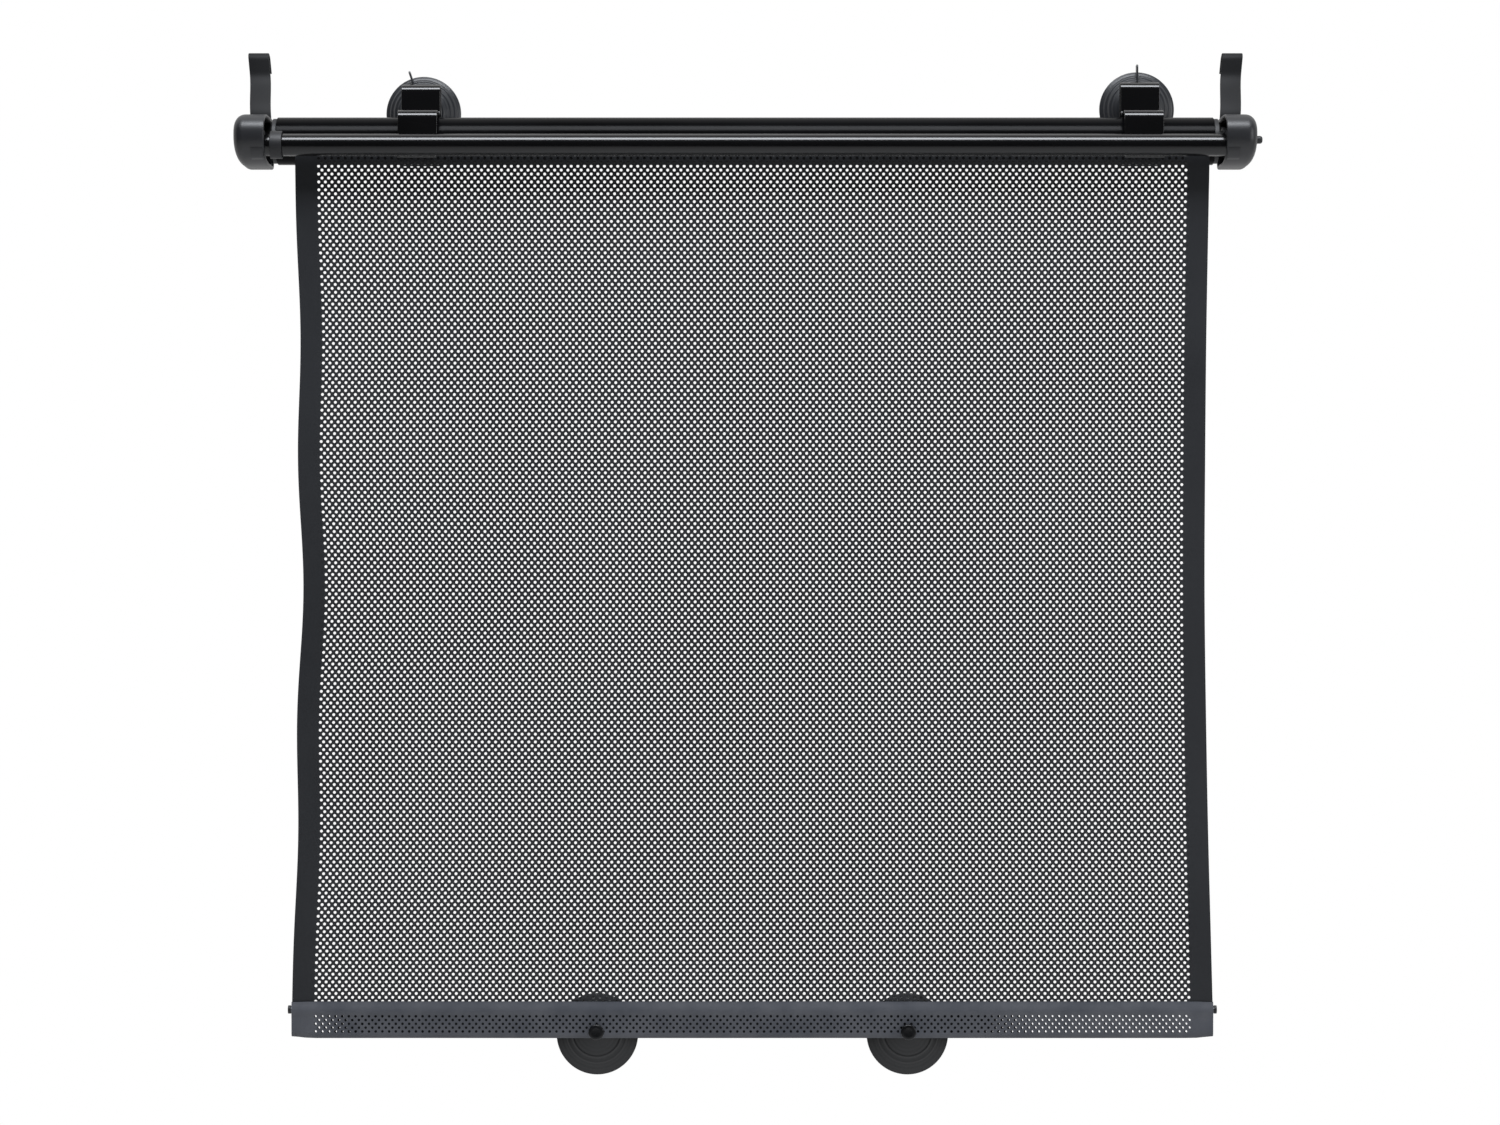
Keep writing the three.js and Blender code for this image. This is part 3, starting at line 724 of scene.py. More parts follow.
@dataclass
class ShadeFilm:
    """The punched film, from the roller's front down to the hem."""

    lattice: HoleLattice = HoleLattice(3.69 * MM, 2.14 * MM, 1.66 * MM)
    margin: float = 11.8 * MM
    thickness: float = 0.2 * MM
    flare: float = 4.6 * MM
    bow_left: float = 3.9 * MM
    bow_right: float = 3.5 * MM
    ripple: float = 1.4 * MM
    ripple_share: float = 0.52
    ripple_length: float = 0.31
    curl: float = 1.6 * MM
    curl_power: int = 10
    curl_base: float = 0.6
    wave: float = 0.9 * MM
    waves_across: float = 1.55
    waves_down: float = 1.15
    wave_start: float = 1.3
    taped_edge: float = 1.5 * MM
    slope_allowance: float = 1.01

    def __post_init__(self) -> None:
        """Reads the CAD sheet's box."""
        self.span = Span.of("shade_film")
        roller = Span.of("roller_tube")
        self.top_y = self.span.low.y + self.thickness
        self.bottom_y = self.span.high.y - self.thickness
        self.no_holes_above = roller.middle.z + self.taped_edge

    def place(self, u: np.ndarray, v: np.ndarray) -> np.ndarray:
        """Bends the flat sheet to its hung form.

        Down the sheet, y goes in a straight line from the roller's front to the hem. The sheet is
        narrower at the top by f (1 - s) on each side. Both side edges bow in by b sin(pi s), the left
        one with a ripple, and points between move in proportion. The edges curl back by c |w|^10, and
        the middle waves to and fro by less than a millimetre, as a sine across times a sine down.

        Args:
            u: Positions across.
            v: Distances down from the top edge.

        Returns:
            (n, 3) positions.
        """
        low, high = self.span.low, self.span.high
        share = v / (high.z - low.z)
        hump = np.sin(math.pi * share)
        turn = 2 * math.pi * (share - self.ripple_share) / self.ripple_length
        taper = self.flare * (1 - share)
        inset_left = taper + self.bow_left * hump + self.ripple * hump * np.cos(turn)
        inset_right = taper + self.bow_right * hump
        middle, half = (low.x + high.x) / 2, (high.x - low.x) / 2
        side = (u - middle) / half
        x = u + np.where(side < 0, inset_left, -inset_right) * np.abs(side)
        y = self.top_y + (self.bottom_y - self.top_y) * share
        rippled = self.curl_base + (1 - self.curl_base) * np.cos(turn)
        y = y + self.curl * hump * np.abs(side) ** self.curl_power * rippled
        across = np.sin(2 * math.pi * self.waves_across * side + self.wave_start)
        y = y + self.wave * hump * across * np.sin(2 * math.pi * self.waves_down * share)
        return np.stack([x, y, high.z - v], axis=-1)

    def build(self) -> list[bpy.types.Object]:
        """Makes the film in an upper and a lower half that meet along one row of holes.

        Returns:
            The two halves.
        """
        low, high = self.span.low, self.span.high
        length = high.z - low.z
        first_hole = high.z - self.no_holes_above

        def punched(u: np.ndarray, v: np.ndarray) -> np.ndarray:
            """True where holes are: under the taped top edge."""
            return v > first_hole

        u, v, faces, row = self.lattice.surface((low.x, high.x), self.margin, length, punched)
        points = self.place(u, v)
        seam = int(row.max()) // 2
        halves = []
        for name, where, replaced in (
            ("film_upper_half", row <= seam, ("shade_film",)),
            ("film_lower_half", row > seam, ()),
        ):
            used, packed = np.unique(faces[where], return_inverse=True)
            made = make_mesh(name, points[used], packed.reshape(-1, 4))
            dress(made, FILM_FINISH, Slot.FILM, Body.FRAME, *replaced)
            halves.append(made)
        for made in halves:
            surface_area(made)
            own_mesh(made)
        return halves


def surface_area(made: bpy.types.Object) -> float:
    """The total area of a piece's faces.

    Args:
        made: The piece.

    Returns:
        The area in square metres.
    """
    areas = np.zeros(len(made.data.polygons), np.float32)
    made.data.polygons.foreach_get("area", areas)
    return float(areas.sum())


@dataclass
class HemPocket:
    """The folded strip round the rod, with the film's edge welded into its top."""

    lattice: HoleLattice = HoleLattice(3.69 * MM, 2.14 * MM, 1.5 * MM)
    margin: float = 11.8 * MM
    aligned_left: float = 0.10
    aligned_right: float = 0.72
    right_share: float = 0.62
    plain_top: float = 7.6 * MM
    plain_fold: float = 2.7 * MM
    end_pinch: float = 1.0 * MM
    end_reach: float = 6.0 * MM
    rod_clearance: float = 0.35 * MM
    half_gap: float = 0.7 * MM
    # How far behind the rod's middle the painted shade of the back layer starts.
    painted_shade_offset: float = 0.2 * MM
    crease_inset: float = 6.0 * MM
    crease_width: float = 1.3 * MM
    crease_depth: float = 1.1 * MM
    slack: float = 0.18 * MM

    def __post_init__(self) -> None:
        """Reads the CAD strip and rod."""
        self.span = Span.of("hem_pocket")
        self.rod = Span.of("hem_rod")

    def outline(self) -> np.ndarray:
        """The strip's section as [y, z] from the front's top, round the rod and the foot, to the back's top.

        Returns:
            (n, 2) points.
        """
        y, rod_z = self.rod.middle.y, self.rod.middle.z
        bulge = self.rod.size.z / 2 + self.rod_clearance
        gap = self.half_gap
        foot = self.span.low.z + gap
        front = np.array(
            [
                [-gap, self.span.high.z],
                [-gap - 0.1 * MM, rod_z + bulge + 1.0 * MM],
                [-bulge, rod_z + 0.8 * MM],
                [-bulge - 0.1 * MM, rod_z - 0.9 * MM],
                [-gap - 0.35 * MM, rod_z - bulge - 2.2 * MM],
                [-gap - 0.25 * MM, foot + 6.0 * MM],
                [-gap - 0.1 * MM, foot],
            ]
        )
        fold = arc((0.0, foot), gap, 190, 350, 8)
        back = front[::-1] * [-1, 1]
        line = softened(np.concatenate([front, fold, back]), 2.0 * MM, 5)
        return line + [y, 0]

    def _slip(self, share: np.ndarray) -> np.ndarray:
        """How far the back layer's holes stand aside of the front ones, by the place across.

        It grows from nothing at the left end to half a pitch, where no hole shows another, and falls
        back a part of the way near the right end.

        Args:
            share: 0 at the left edge and 1 at the right.

        Returns:
            The shift in metres.
        """
        half = self.lattice.pitch / 2
        rise = np.clip(share / self.aligned_left, 0, 1)
        fall = np.clip((share - self.aligned_right) / 0.1, 0, 1)
        fade = np.clip((1 - share) / 0.03, 0, 1)
        return half * rise**2 * (3 - 2 * rise) * (1 - self.right_share * fall**2 * (3 - 2 * fall)) * fade

    def build(self) -> bpy.types.Object:
        """Makes the strip as one surface that goes down in front and up behind.

        Near its ends, within e of an edge, the strip is drawn towards the rod's height by a bell curve
        in e, and a crease of the same form stands out a little way in. Along its length it bends to and
        fro by a product of two sines.

        Returns:
            The piece.
        """
        line = self.outline()
        steps = np.linalg.norm(np.diff(line, axis=0), axis=1)
        along = np.concatenate([[0], np.cumsum(steps)])
        length = along[-1]
        low, high = self.span.low, self.span.high

        def punched(u: np.ndarray, v: np.ndarray) -> np.ndarray:
            """True off the weld and the rod, in front and behind, and off the fold at the foot."""
            off_fold = np.abs(v - length / 2) > self.plain_fold
            return (v > self.plain_top) & (v < length - self.plain_top) & off_fold

        u, v, faces, _ = self.lattice.surface((low.x, high.x), self.margin, length, punched)
        behind = np.clip((v / length - 0.52) * 12, 0, 1)
        x = u + behind * self._slip((u - low.x) / (high.x - low.x))
        y = np.interp(v, along, line[:, 0])
        z = np.interp(v, along, line[:, 1])
        edge = np.minimum(u - low.x, high.x - u)
        pinch = np.exp(-((edge / self.end_reach) ** 2))
        z = z + pinch * self.end_pinch * (self.rod.middle.z - z) / (self.rod.middle.z - low.z)
        crease = np.exp(-(((edge - self.crease_inset) / self.crease_width) ** 2))
        y = y + self.crease_depth * crease * np.sign(y - self.rod.middle.y)
        y = y + self.slack * np.sin(u / (23 * MM)) * np.sin(u / (61 * MM) + 1.0)
        made = make_mesh("hem_strip", np.stack([x, y, z], axis=-1), faces)
        # The back layer, behind the rod, gets painted shade for the inside of the fold.
        finish = replace(HEM_SHEEN_AND_SHADE_FINISH, painted_shade_from_y=self.rod.middle.y + self.painted_shade_offset)
        dress(made, finish, Slot.FILM, Body.HEM, "hem_pocket")
        surface_area(made)
        return made


@dataclass
class SuctionCup:
    """A soft cup: ringed shell, neck and round head, with a release tab on the upper ones."""

    node: str
    body: Body
    finish: Finish
    plate_back: float
    plate_front: float
    sag: float = 0.0
    tab_angle: float | None = None
    tab_reach: float = 25.0 * MM
    sides: int = 96
    ring_depth: float = 0.24 * MM
    ring_pitch: float = 2.1 * MM
    neck_radius: float = 2.15 * MM
    head_radius: float = 4.25 * MM
    head_thickness: float = 3.2 * MM
    tab_radius_share: float = 0.72
    tab_half_width: float = 2.6 * MM
    tab_half_thickness: float = 0.6 * MM
    tab_y: float = -3.1 * MM
    lip_width: float = 2.0 * MM
    lip_depth: float = 1.2 * MM
    crown_gap: float = 0.35 * MM
    shell_power: float = 1.25
    step_shares: tuple[float, float] = (0.73, 0.6)

    def __post_init__(self) -> None:
        """Reads the CAD cup's box: its width gives the radius and its middle the axis."""
        self.span = Span.of(self.node)
        self.radius = self.span.size.x / 2
        self.x = self.span.middle.x
        self.z = self.span.low.z + self.radius + self.sag

    def profile(self) -> np.ndarray:
        """The section as [radius, y], from the middle of the hollow round the lip to the head.

        The outer shell rises from the lip as h (1 - s^1.25), where s runs from the neck to the lip, with
        two moulded rings that stand out and fine rings of a cosine in r.

        Returns:
            (n, 2) points.
        """
        radius, foot = self.radius, self.plate_back
        crown = foot + self.crown_gap
        shell = np.linspace(radius - 0.7 * MM, self.neck_radius + 1.5 * MM, 90)
        share = (shell - shell[-1]) / (shell[0] - shell[-1])
        height = -self.lip_depth + (crown + self.lip_depth) * (1 - share**self.shell_power)
        for at in self.step_shares:
            height -= self._step(shell, at * radius)
        fade = np.clip((shell / radius - 0.25) * 4, 0, 1) * np.clip((0.97 - shell / radius) * 12, 0, 1)
        height += self.ring_depth * fade * np.cos(2 * math.pi * shell / self.ring_pitch)
        outer = np.stack([shell, np.maximum(height, crown)], axis=1)
        inner = radius - self.lip_width
        hollow = np.array(
            [
                [0, -3.6 * MM],
                [0.5 * radius, -3.1 * MM],
                [radius - 2.4 * MM, -0.45 * MM],
                [inner, 0],
            ]
        )
        lip = softened(
            np.array(
                [
                    [inner, 0],
                    [radius, 0],
                    [radius, -0.8 * MM],
                    [radius - 0.7 * MM, -self.lip_depth],
                ]
            ),
            0.4 * MM,
        )
        head_back = self.plate_front - 0.3 * MM
        head_front = head_back - self.head_thickness
        head = softened(
            np.array(
                [
                    [self.neck_radius + 1.5 * MM, crown],
                    [self.neck_radius, crown],
                    [self.neck_radius, head_back],
                    [self.head_radius, head_back],
                    [self.head_radius, head_front],
                    [self.head_radius - 1.4 * MM, head_front - 0.25 * MM],
                    [0, head_front + 0.1 * MM],
                ]
            ),
            0.9 * MM, 6,
        )
        return np.concatenate([softened(hollow, 1.5 * MM), lip[1:], outer[1:], head[1:]])

    @staticmethod
    def _step(radius: np.ndarray, at: float) -> np.ndarray:
        """A moulded ring 0.35 mm high and 1 mm wide at a radius."""
        return 0.35 * MM * np.exp(-(((radius - at) / (0.55 * MM)) ** 2))

    def _lift(self, y: np.ndarray) -> np.ndarray:
        """How far the shell hangs below the neck: all of the sag at the lip, none at the neck."""
        share = np.clip(y / self.plate_back, 0, 1)
        return -self.sag * (1 - share)

    def tab(self) -> Surface:
        """The release tab: a thin tongue that stands out from the rim at an angle, its width along Y.

        Its section is a rounded rectangle |a|^4 + |b|^4 = 1, and its last fifth narrows as a circle does.

        Returns:
            Positions and quads.
        """
        root = self.tab_radius_share * self.radius
        rise = np.linspace(0, 1, 14)
        rounding = np.clip((rise - 0.8) / 0.2, 0, 1)
        half_width = self.tab_half_width * np.sqrt(np.clip(1 - rounding**2, 0, 1))
        half_thick = np.full_like(rise, self.tab_half_thickness)
        half_thick[-1] = 0
        angle = np.linspace(0, 2 * math.pi, 16, endpoint=False)
        across = np.sign(np.cos(angle)) * np.abs(np.cos(angle)) ** 0.5
        deep = np.sign(np.sin(angle)) * np.abs(np.sin(angle)) ** 0.5
        out = root + (self.tab_reach - root) * rise[:, None]
        aside = half_thick[:, None] * across
        turn = math.radians(self.tab_angle)
        x = self.x + out * math.sin(turn) + aside * math.cos(turn)
        z = self.z + out * math.cos(turn) - aside * math.sin(turn)
        y = self.tab_y + half_width[:, None] * deep
        grid = np.stack(np.broadcast_arrays(x, y, z), axis=-1)
        ends = np.broadcast_to(grid[[0, -1]].mean(axis=1, keepdims=True), (2, 16, 3))
        grid = np.concatenate([ends[:1], grid, ends[1:]])
        return grid.reshape(-1, 3), grid_faces(len(grid), 16, True)

    def build(self) -> bpy.types.Object:
        """Makes the cup in one piece.

        Returns:
            The piece.
        """
        parts = [turned_about_y(self.profile(), self.x, self.z, self.sides, self._lift)]
        if self.tab_angle is not None:
            parts.append(self.tab())
        made = make_mesh(f"{self.node}_moulding", *joined(*parts))
        face_outward(made)
        return dress(made, self.finish, Slot.CUP, self.body, self.node)


@dataclass
class EndCap:
    """A moulded cap: an oval-deep shell, open to the roller, rounded at its outer end."""

    node: str
    side: int
    wall: float = 2.0 * MM
    end_wall: float = 2.5 * MM
    edge_radius: float = 5.5 * MM
    rim_radius: float = 0.8 * MM
    nose_z: float = 1.0 * MM
    fullness: float = 2.5
    top_flat: float = 21.0 * MM
    bottom_flat: float = 32.0 * MM
    back_radius: float = 4.0 * MM
    boss_length: float = 8.5 * MM
    boss_radius: float = 5.5 * MM
    boss_bore: float = 3.3 * MM
    socket_start: float = 0.8 * MM
    socket_end: float = 7.5 * MM
    socket_wall: float = 1.4 * MM
    socket_clearance: float = 0.3 * MM

    def __post_init__(self) -> None:
        """Reads the CAD cap's box."""
        self.span = Span.of(self.node)
        self.inner = self.span.low.x if self.side > 0 else self.span.high.x
        self.length = self.span.size.x

    def section(self, inset: float, steps: int = 22) -> np.ndarray:
        """The closed section as [y, z], drawn in by an inset.

        The front is a superellipse |y/a|^n + |z/b|^n = 1 in two quarters, and the back has round corners.

        Args:
            inset: How far inside the outer skin.
            steps: Points on each front quarter.

        Returns:
            (n, 2) points.
        """
        top, bottom = self.span.high.z - inset, self.span.low.z + inset
        front, back = self.span.low.y + inset, self.span.high.y - inset
        power = 2 / self.fullness
        angle = np.linspace(0, math.pi / 2, steps)
        top_y = self.span.low.y + self.top_flat
        bottom_y = self.span.low.y + self.bottom_flat
        upper = np.stack(
            [
                top_y + (front - top_y) * np.cos(angle) ** power,
                self.nose_z + (top - self.nose_z) * np.sin(angle) ** power,
            ],
            axis=1,
        )
        lower = np.stack(
            [
                bottom_y + (front - bottom_y) * np.cos(angle) ** power,
                self.nose_z + (bottom - self.nose_z) * np.sin(angle) ** power,
            ],
            axis=1,
        )[::-1]
        corner = max(self.back_radius - inset, 0.6 * MM)
        upper_back = arc((back - corner, top - corner), corner, 90, 0, 6)
        lower_back = arc((back - corner, bottom + corner), corner, 0, -90, 6)
        return np.concatenate([lower[:-1], upper, upper_back, lower_back])

    def stations(self) -> np.ndarray:
        """The shell's course as [along, inset]: out of the hollow, over the rim, along and round the end.

        Returns:
            (n, 2) points.
        """
        depth = self.length - self.end_wall
        rim = arc((self.rim_radius, self.rim_radius), self.rim_radius, 270, 180, 5)[:, ::-1]
        rim_in = np.array(
            [[self.rim_radius, self.wall], [0.2 * MM, self.wall - 0.3 * MM], [0, self.rim_radius]]
        )
        angle = np.linspace(0, math.pi / 2, 14)
        start = self.length - self.edge_radius
        outer = np.stack(
            [start + self.edge_radius * np.sin(angle), self.edge_radius * (1 - np.cos(angle))], axis=1
        )
        inner = np.array(
            [[depth, self.wall + 1.0 * MM], [depth - 1.0 * MM, self.wall], [3.0 * MM, self.wall]]
        )
        along_out = np.linspace(self.rim_radius, start, 6)[1:-1]
        body = np.stack([along_out, np.zeros_like(along_out)], axis=1)
        rim_out = np.stack([rim[:, 1], rim[:, 0]], axis=1)
        return np.concatenate([inner, rim_in, rim_out[np.argsort(rim_out[:, 0])], body, outer])

    def build(self) -> bpy.types.Object:
        """Makes the shell, its axle boss and its rail socket.

        Returns:
            The piece.
        """
        stations = self.stations()
        rings = [
            np.column_stack([np.full(len(ring), self.inner + self.side * along), ring])
            for along, inset in stations
            for ring in [self.section(inset)]
        ]
        grid = np.stack(rings)
        floor = np.broadcast_to(grid[0].mean(axis=0), grid[0].shape)
        end = np.broadcast_to(grid[-1].mean(axis=0), grid[-1].shape)
        grid = np.concatenate([floor[None], grid, end[None]])
        shell = grid.reshape(-1, 3), grid_faces(len(grid), grid.shape[1], True)
        made = make_mesh(f"{self.node}_shell", *joined(shell, self._boss(), self._socket()))
        face_outward(made)
        return dress(made, CAP_FINISH, Slot.CAP, Body.FRAME, self.node)

    def _ring(
        self, start: float, end: float, outer: float, bore: float, y: float, z: float
    ) -> Surface:
        """A short tube inside the cap.

        Args:
            start: Where it starts, as a distance from the cap's open side.
            end: Where it ends.
            outer: Its outer radius.
            bore: Its inner radius.
            y: Its axis in Y.
            z: Its axis in Z.

        Returns:
            Positions and quads.
        """
        ends = sorted([self.inner + self.side * start, self.inner + self.side * end])
        profile = np.array(
            [[ends[0], bore], [ends[0], outer], [ends[1], outer], [ends[1], bore], [ends[0], bore]]
        )
        return turned_about_x(profile, y, z, 40)

    def _boss(self) -> Surface:
        """The boss that holds the axle."""
        roller = Span.of("roller_tube").middle
        depth = self.length - self.end_wall
        start, end = depth - self.boss_length, depth + 1 * MM
        return self._ring(start, end, self.boss_radius, self.boss_bore, roller.y, roller.z)

    def _socket(self) -> Surface:
        """The socket that holds the rail."""
        rail = Span.of("front_rail")
        bore = rail.size.z / 2 + self.socket_clearance
        outer = bore + self.socket_wall
        return self._ring(
            self.socket_start, self.socket_end, outer, bore, rail.middle.y, rail.middle.z
        )


@dataclass
class BentStrip:
    """A flat strip with softened edges, bent along a line of [y, z] points."""

    name: str
    line: np.ndarray
    width: float
    thickness: float
    edge: float = 0.35 * MM

    def surface(self, x: float, lean: float = 0.0, lean_from: float = 0.0) -> Surface:
        """Carries a rounded-rectangle section along the line.

        A section point (w, t) goes to (x + w, line + t n), where n is the line's normal, and leans aside
        by tan(lean) for each metre of height above lean_from.

        Args:
            x: The strip's middle in X.
            lean: Sideways slope, in radians.
            lean_from: Height at which the slope starts.

        Returns:
            Positions and quads.
        """
        half_w, half_t, edge = self.width / 2, self.thickness / 2, self.edge
        quarter = [
            arc((half_w - edge, half_t - edge), edge, 0, 90, 4),
            arc((-half_w + edge, half_t - edge), edge, 90, 180, 4),
            arc((-half_w + edge, -half_t + edge), edge, 180, 270, 4),
            arc((half_w - edge, -half_t + edge), edge, 270, 360, 4),
        ]
        section = np.concatenate(quarter)
        tangent = np.gradient(self.line, axis=0)
        tangent /= np.linalg.norm(tangent, axis=1, keepdims=True)
        normal = np.stack([-tangent[:, 1], tangent[:, 0]], axis=1)
        yz = self.line[:, None] + normal[:, None] * section[None, :, 1:2]
        across = np.broadcast_to(section[None, :, 0], yz.shape[:2])
        aside = math.tan(lean) * np.maximum(yz[..., 1] - lean_from, 0)
        grid = np.concatenate([(x + across + aside)[..., None], yz], axis=-1)
        ends = grid[[0, -1]].mean(axis=1, keepdims=True)
        shrunk = grid[[0, -1]] * 0.8 + ends * 0.2
        shut = np.broadcast_to(ends, (2, len(section), 3))
        grid = np.concatenate([shut[:1], shrunk[:1], grid, shrunk[1:], shut[1:]])
        return grid.reshape(-1, 3), grid_faces(len(grid), len(section), True)


def evenly(line: np.ndarray, step: float) -> np.ndarray:
    """A line resampled at equal steps along its length.

    Args:
        line: (n, k) points.
        step: The distance between new points, at most.

    Returns:
        (m, k) points.
    """
    along = np.concatenate([[0], np.cumsum(np.linalg.norm(np.diff(line, axis=0), axis=1))])
    at = np.linspace(0, along[-1], max(int(along[-1] / step), 2) + 1)
    return np.stack([np.interp(at, along, line[:, k]) for k in range(line.shape[1])], axis=1)


@dataclass
class HangingHook:
    """The strip that rises from a cap and folds over the top edge of the glass."""

    node: str
    side: int
    width: float = 11.4 * MM
    thickness: float = 1.6 * MM
    cap_inset: float = 6.8 * MM
    slot_y: float = -17.0 * MM
    rise_start: float = 14.0 * MM
    rise_end: float = 41.0 * MM
    glass_gap: float = 5.0 * MM
    return_length: float = 11.0 * MM
    lean: float = math.radians(5.4)

    def line(self) -> np.ndarray:
        """The strip's middle line: up, back to the glass by 3s^2 - 2s^3, up, and over.

        Returns:
            (n, 2) points of [y, z].
        """
        span = Span.of(self.node)
        glass = -self.thickness / 2
        bend = (self.glass_gap + self.thickness) / 2
        share = np.linspace(0, 1, 20)
        ease = share**2 * (3 - 2 * share)
        rise = np.stack(
            [
                self.slot_y + (glass - self.slot_y) * ease,
                self.rise_start + (self.rise_end - self.rise_start) * share,
            ],
            axis=1,
        )
        over = arc((glass + bend, span.high.z - self.thickness / 2 - bend), bend, 180, 0, 20)
        start = np.array([[self.slot_y, span.low.z]])
        end = np.array([[glass + 2 * bend, span.high.z - self.return_length]])
        return evenly(np.concatenate([start, rise, over, end]), 0.6 * MM)

    def build(self) -> bpy.types.Object:
        """Makes the hook.

        Returns:
            The piece.
        """
        inner = Span.of("left_end_cap").high.x if self.side < 0 else Span.of("right_end_cap").low.x
        strip = BentStrip(self.node, self.line(), self.width, self.thickness, 0.45 * MM)
        middle = inner + self.side * self.cap_inset
        surface = strip.surface(middle, self.side * self.lean, self.rise_start)
        made = make_mesh(f"{self.node}_strip", *surface)
        face_outward(made)
        return dress(made, HOOK_FINISH, Slot.HOOK, Body.FRAME, self.node)


@dataclass
class RailClip:
    """A bent strip that hooks under the rail, passes over the roller and carries a cup behind it."""

    node: str
    body: Body
    thickness: float = 1.2 * MM
    bend: float = 4.4 * MM
    inner_bend: float = 2.4 * MM
    fold: float = 3.9 * MM
    wrap_angle: float = 62.0
    clearance: float = 0.3 * MM
    shelf_z: float = 15.2 * MM
    plate_y: float = -20.0 * MM

    def line(self) -> np.ndarray:
        """The strip's middle line from under the rail to the foot of the rear leg.

        Returns:
            (n, 2) points of [y, z].
        """
        span = Span.of(self.node)
        rail = Span.of("front_rail")
        wrap = rail.size.z / 2 + self.clearance + self.thickness / 2
        leg_y = rail.middle.y + wrap
        fold_top = span.high.z - self.thickness / 2
        inner_corner = (self.plate_y - self.inner_bend, self.shelf_z + self.inner_bend)
        parts = [
            arc((rail.middle.y, rail.middle.z), wrap, -self.wrap_angle, 0, 12),
            arc((leg_y + self.bend, self.shelf_z - self.bend), self.bend, 180, 90, 12),
            arc(inner_corner, self.inner_bend, -90, 0, 8),
            arc((self.plate_y + self.fold, fold_top - self.fold), self.fold, 180, 0, 20),
            np.array([[self.plate_y + 2 * self.fold, span.low.z]]),
        ]
        return evenly(np.concatenate(parts), 0.5 * MM)

    def build(self) -> bpy.types.Object:
        """Makes the clip.

        Returns:
            The piece.
        """
        span = Span.of(self.node)
        strip = BentStrip(self.node, self.line(), span.size.x, self.thickness)
        made = make_mesh(f"{self.node}_strip", *strip.surface(span.middle.x))
        face_outward(made)
        return dress(made, CLIP_FINISH, Slot.CLIP, self.body, self.node)


@dataclass
class TopBar:
    """The roller, the rail in front of it and the small turned pieces on their axes."""

    sides: int = 96
    edge: float = 0.35 * MM

    def turned(
        self, node: str, corners: list[tuple[float, float]], finish: Finish, slot: Slot, body: Body
    ) -> bpy.types.Object:
        """Makes one turned piece on the axis of a CAD node.

        Args:
            node: The CAD node that it replaces.
            corners: [x, radius] corners, which are softened.
            finish: Its finish.
            slot: The record's slot.
            body: The body that it rides on.

        Returns:
            The piece.
        """
        middle = Span.of(node).middle
        profile = softened(np.array(corners), self.edge)
        made = make_mesh(f"{node}_turned", *turned_about_x(profile, middle.y, middle.z, self.sides))
        face_outward(made)
        return dress(made, finish, slot, body, node)

    def closed_tube(self, node: str, wall: float) -> list[tuple[float, float]]:
        """Corners of an open-ended tube with the node's length and diameter.

        Args:
            node: The CAD node.
            wall: The tube's wall.

        Returns:
            [x, radius] corners, round the wall.
        """
        span = Span.of(node)
        outer = span.size.z / 2
        start, end = span.low.x, span.high.x
        middle = (start + end) / 2
        return [
            (middle, outer), (end, outer), (end, outer - wall), (start, outer - wall),
            (start, outer), (middle, outer),
        ]

    def build(self) -> None:
        """Makes the rail, its collar, the roller tube and the hem's rod."""
        self.turned(
            "front_rail", self.closed_tube("front_rail", 1.0 * MM), RAIL_FINISH, Slot.RAIL, Body.FRAME
        )
        self.turned(
            "rail_collar", self.closed_tube("rail_collar", 1.15 * MM), PLUG_FINISH, Slot.PLUG, Body.FRAME
        )
        self.turned(
            "roller_tube", self.closed_tube("roller_tube", 0.8 * MM), ROLLER_FINISH, Slot.ROLLER, Body.ROLLER
        )
        rod = Span.of("hem_rod")
        radius = rod.size.z / 2
        self.turned(
            "hem_rod",
            [(rod.low.x, 0), (rod.low.x, radius), (rod.high.x, radius), (rod.high.x, 0)],
            STEEL_FINISH, Slot.STEEL, Body.HEM,
        )


@dataclass(frozen=True)
class SmoothedNode:
    """A CAD node that keeps its shape: a merged copy with soft edges stands for it."""

    node: str
    finish: Finish
    slot: Slot
    body: Body
    edge: float = 0.2 * MM

    def build(self) -> bpy.types.Object:
        """Copies the node's mesh, merges its points and bevels its edges.

        Returns:
            The piece.
        """
        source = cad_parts[self.node].data
        source.calc_loop_triangles()
        points = np.zeros(len(source.vertices) * 3, np.float32)
        source.vertices.foreach_get("co", points)
        corners = np.zeros(len(source.loop_triangles) * 3, np.int32)
        source.loop_triangles.foreach_get("vertices", corners)
        triangles = corners.reshape(-1, 3)
        made = make_mesh(
            f"{self.node}_smooth", points.reshape(-1, 3).astype(float), triangles[:, [0, 1, 2, 2]]
        )
        bevel = made.modifiers.new("soft_edges", "BEVEL")
        bevel.width = self.edge
        bevel.segments = 2
        bevel.limit_method = "ANGLE"
        bevel.angle_limit = SHARP_ANGLE
        bevel.harden_normals = True
        return dress(made, self.finish, self.slot, self.body, self.node)


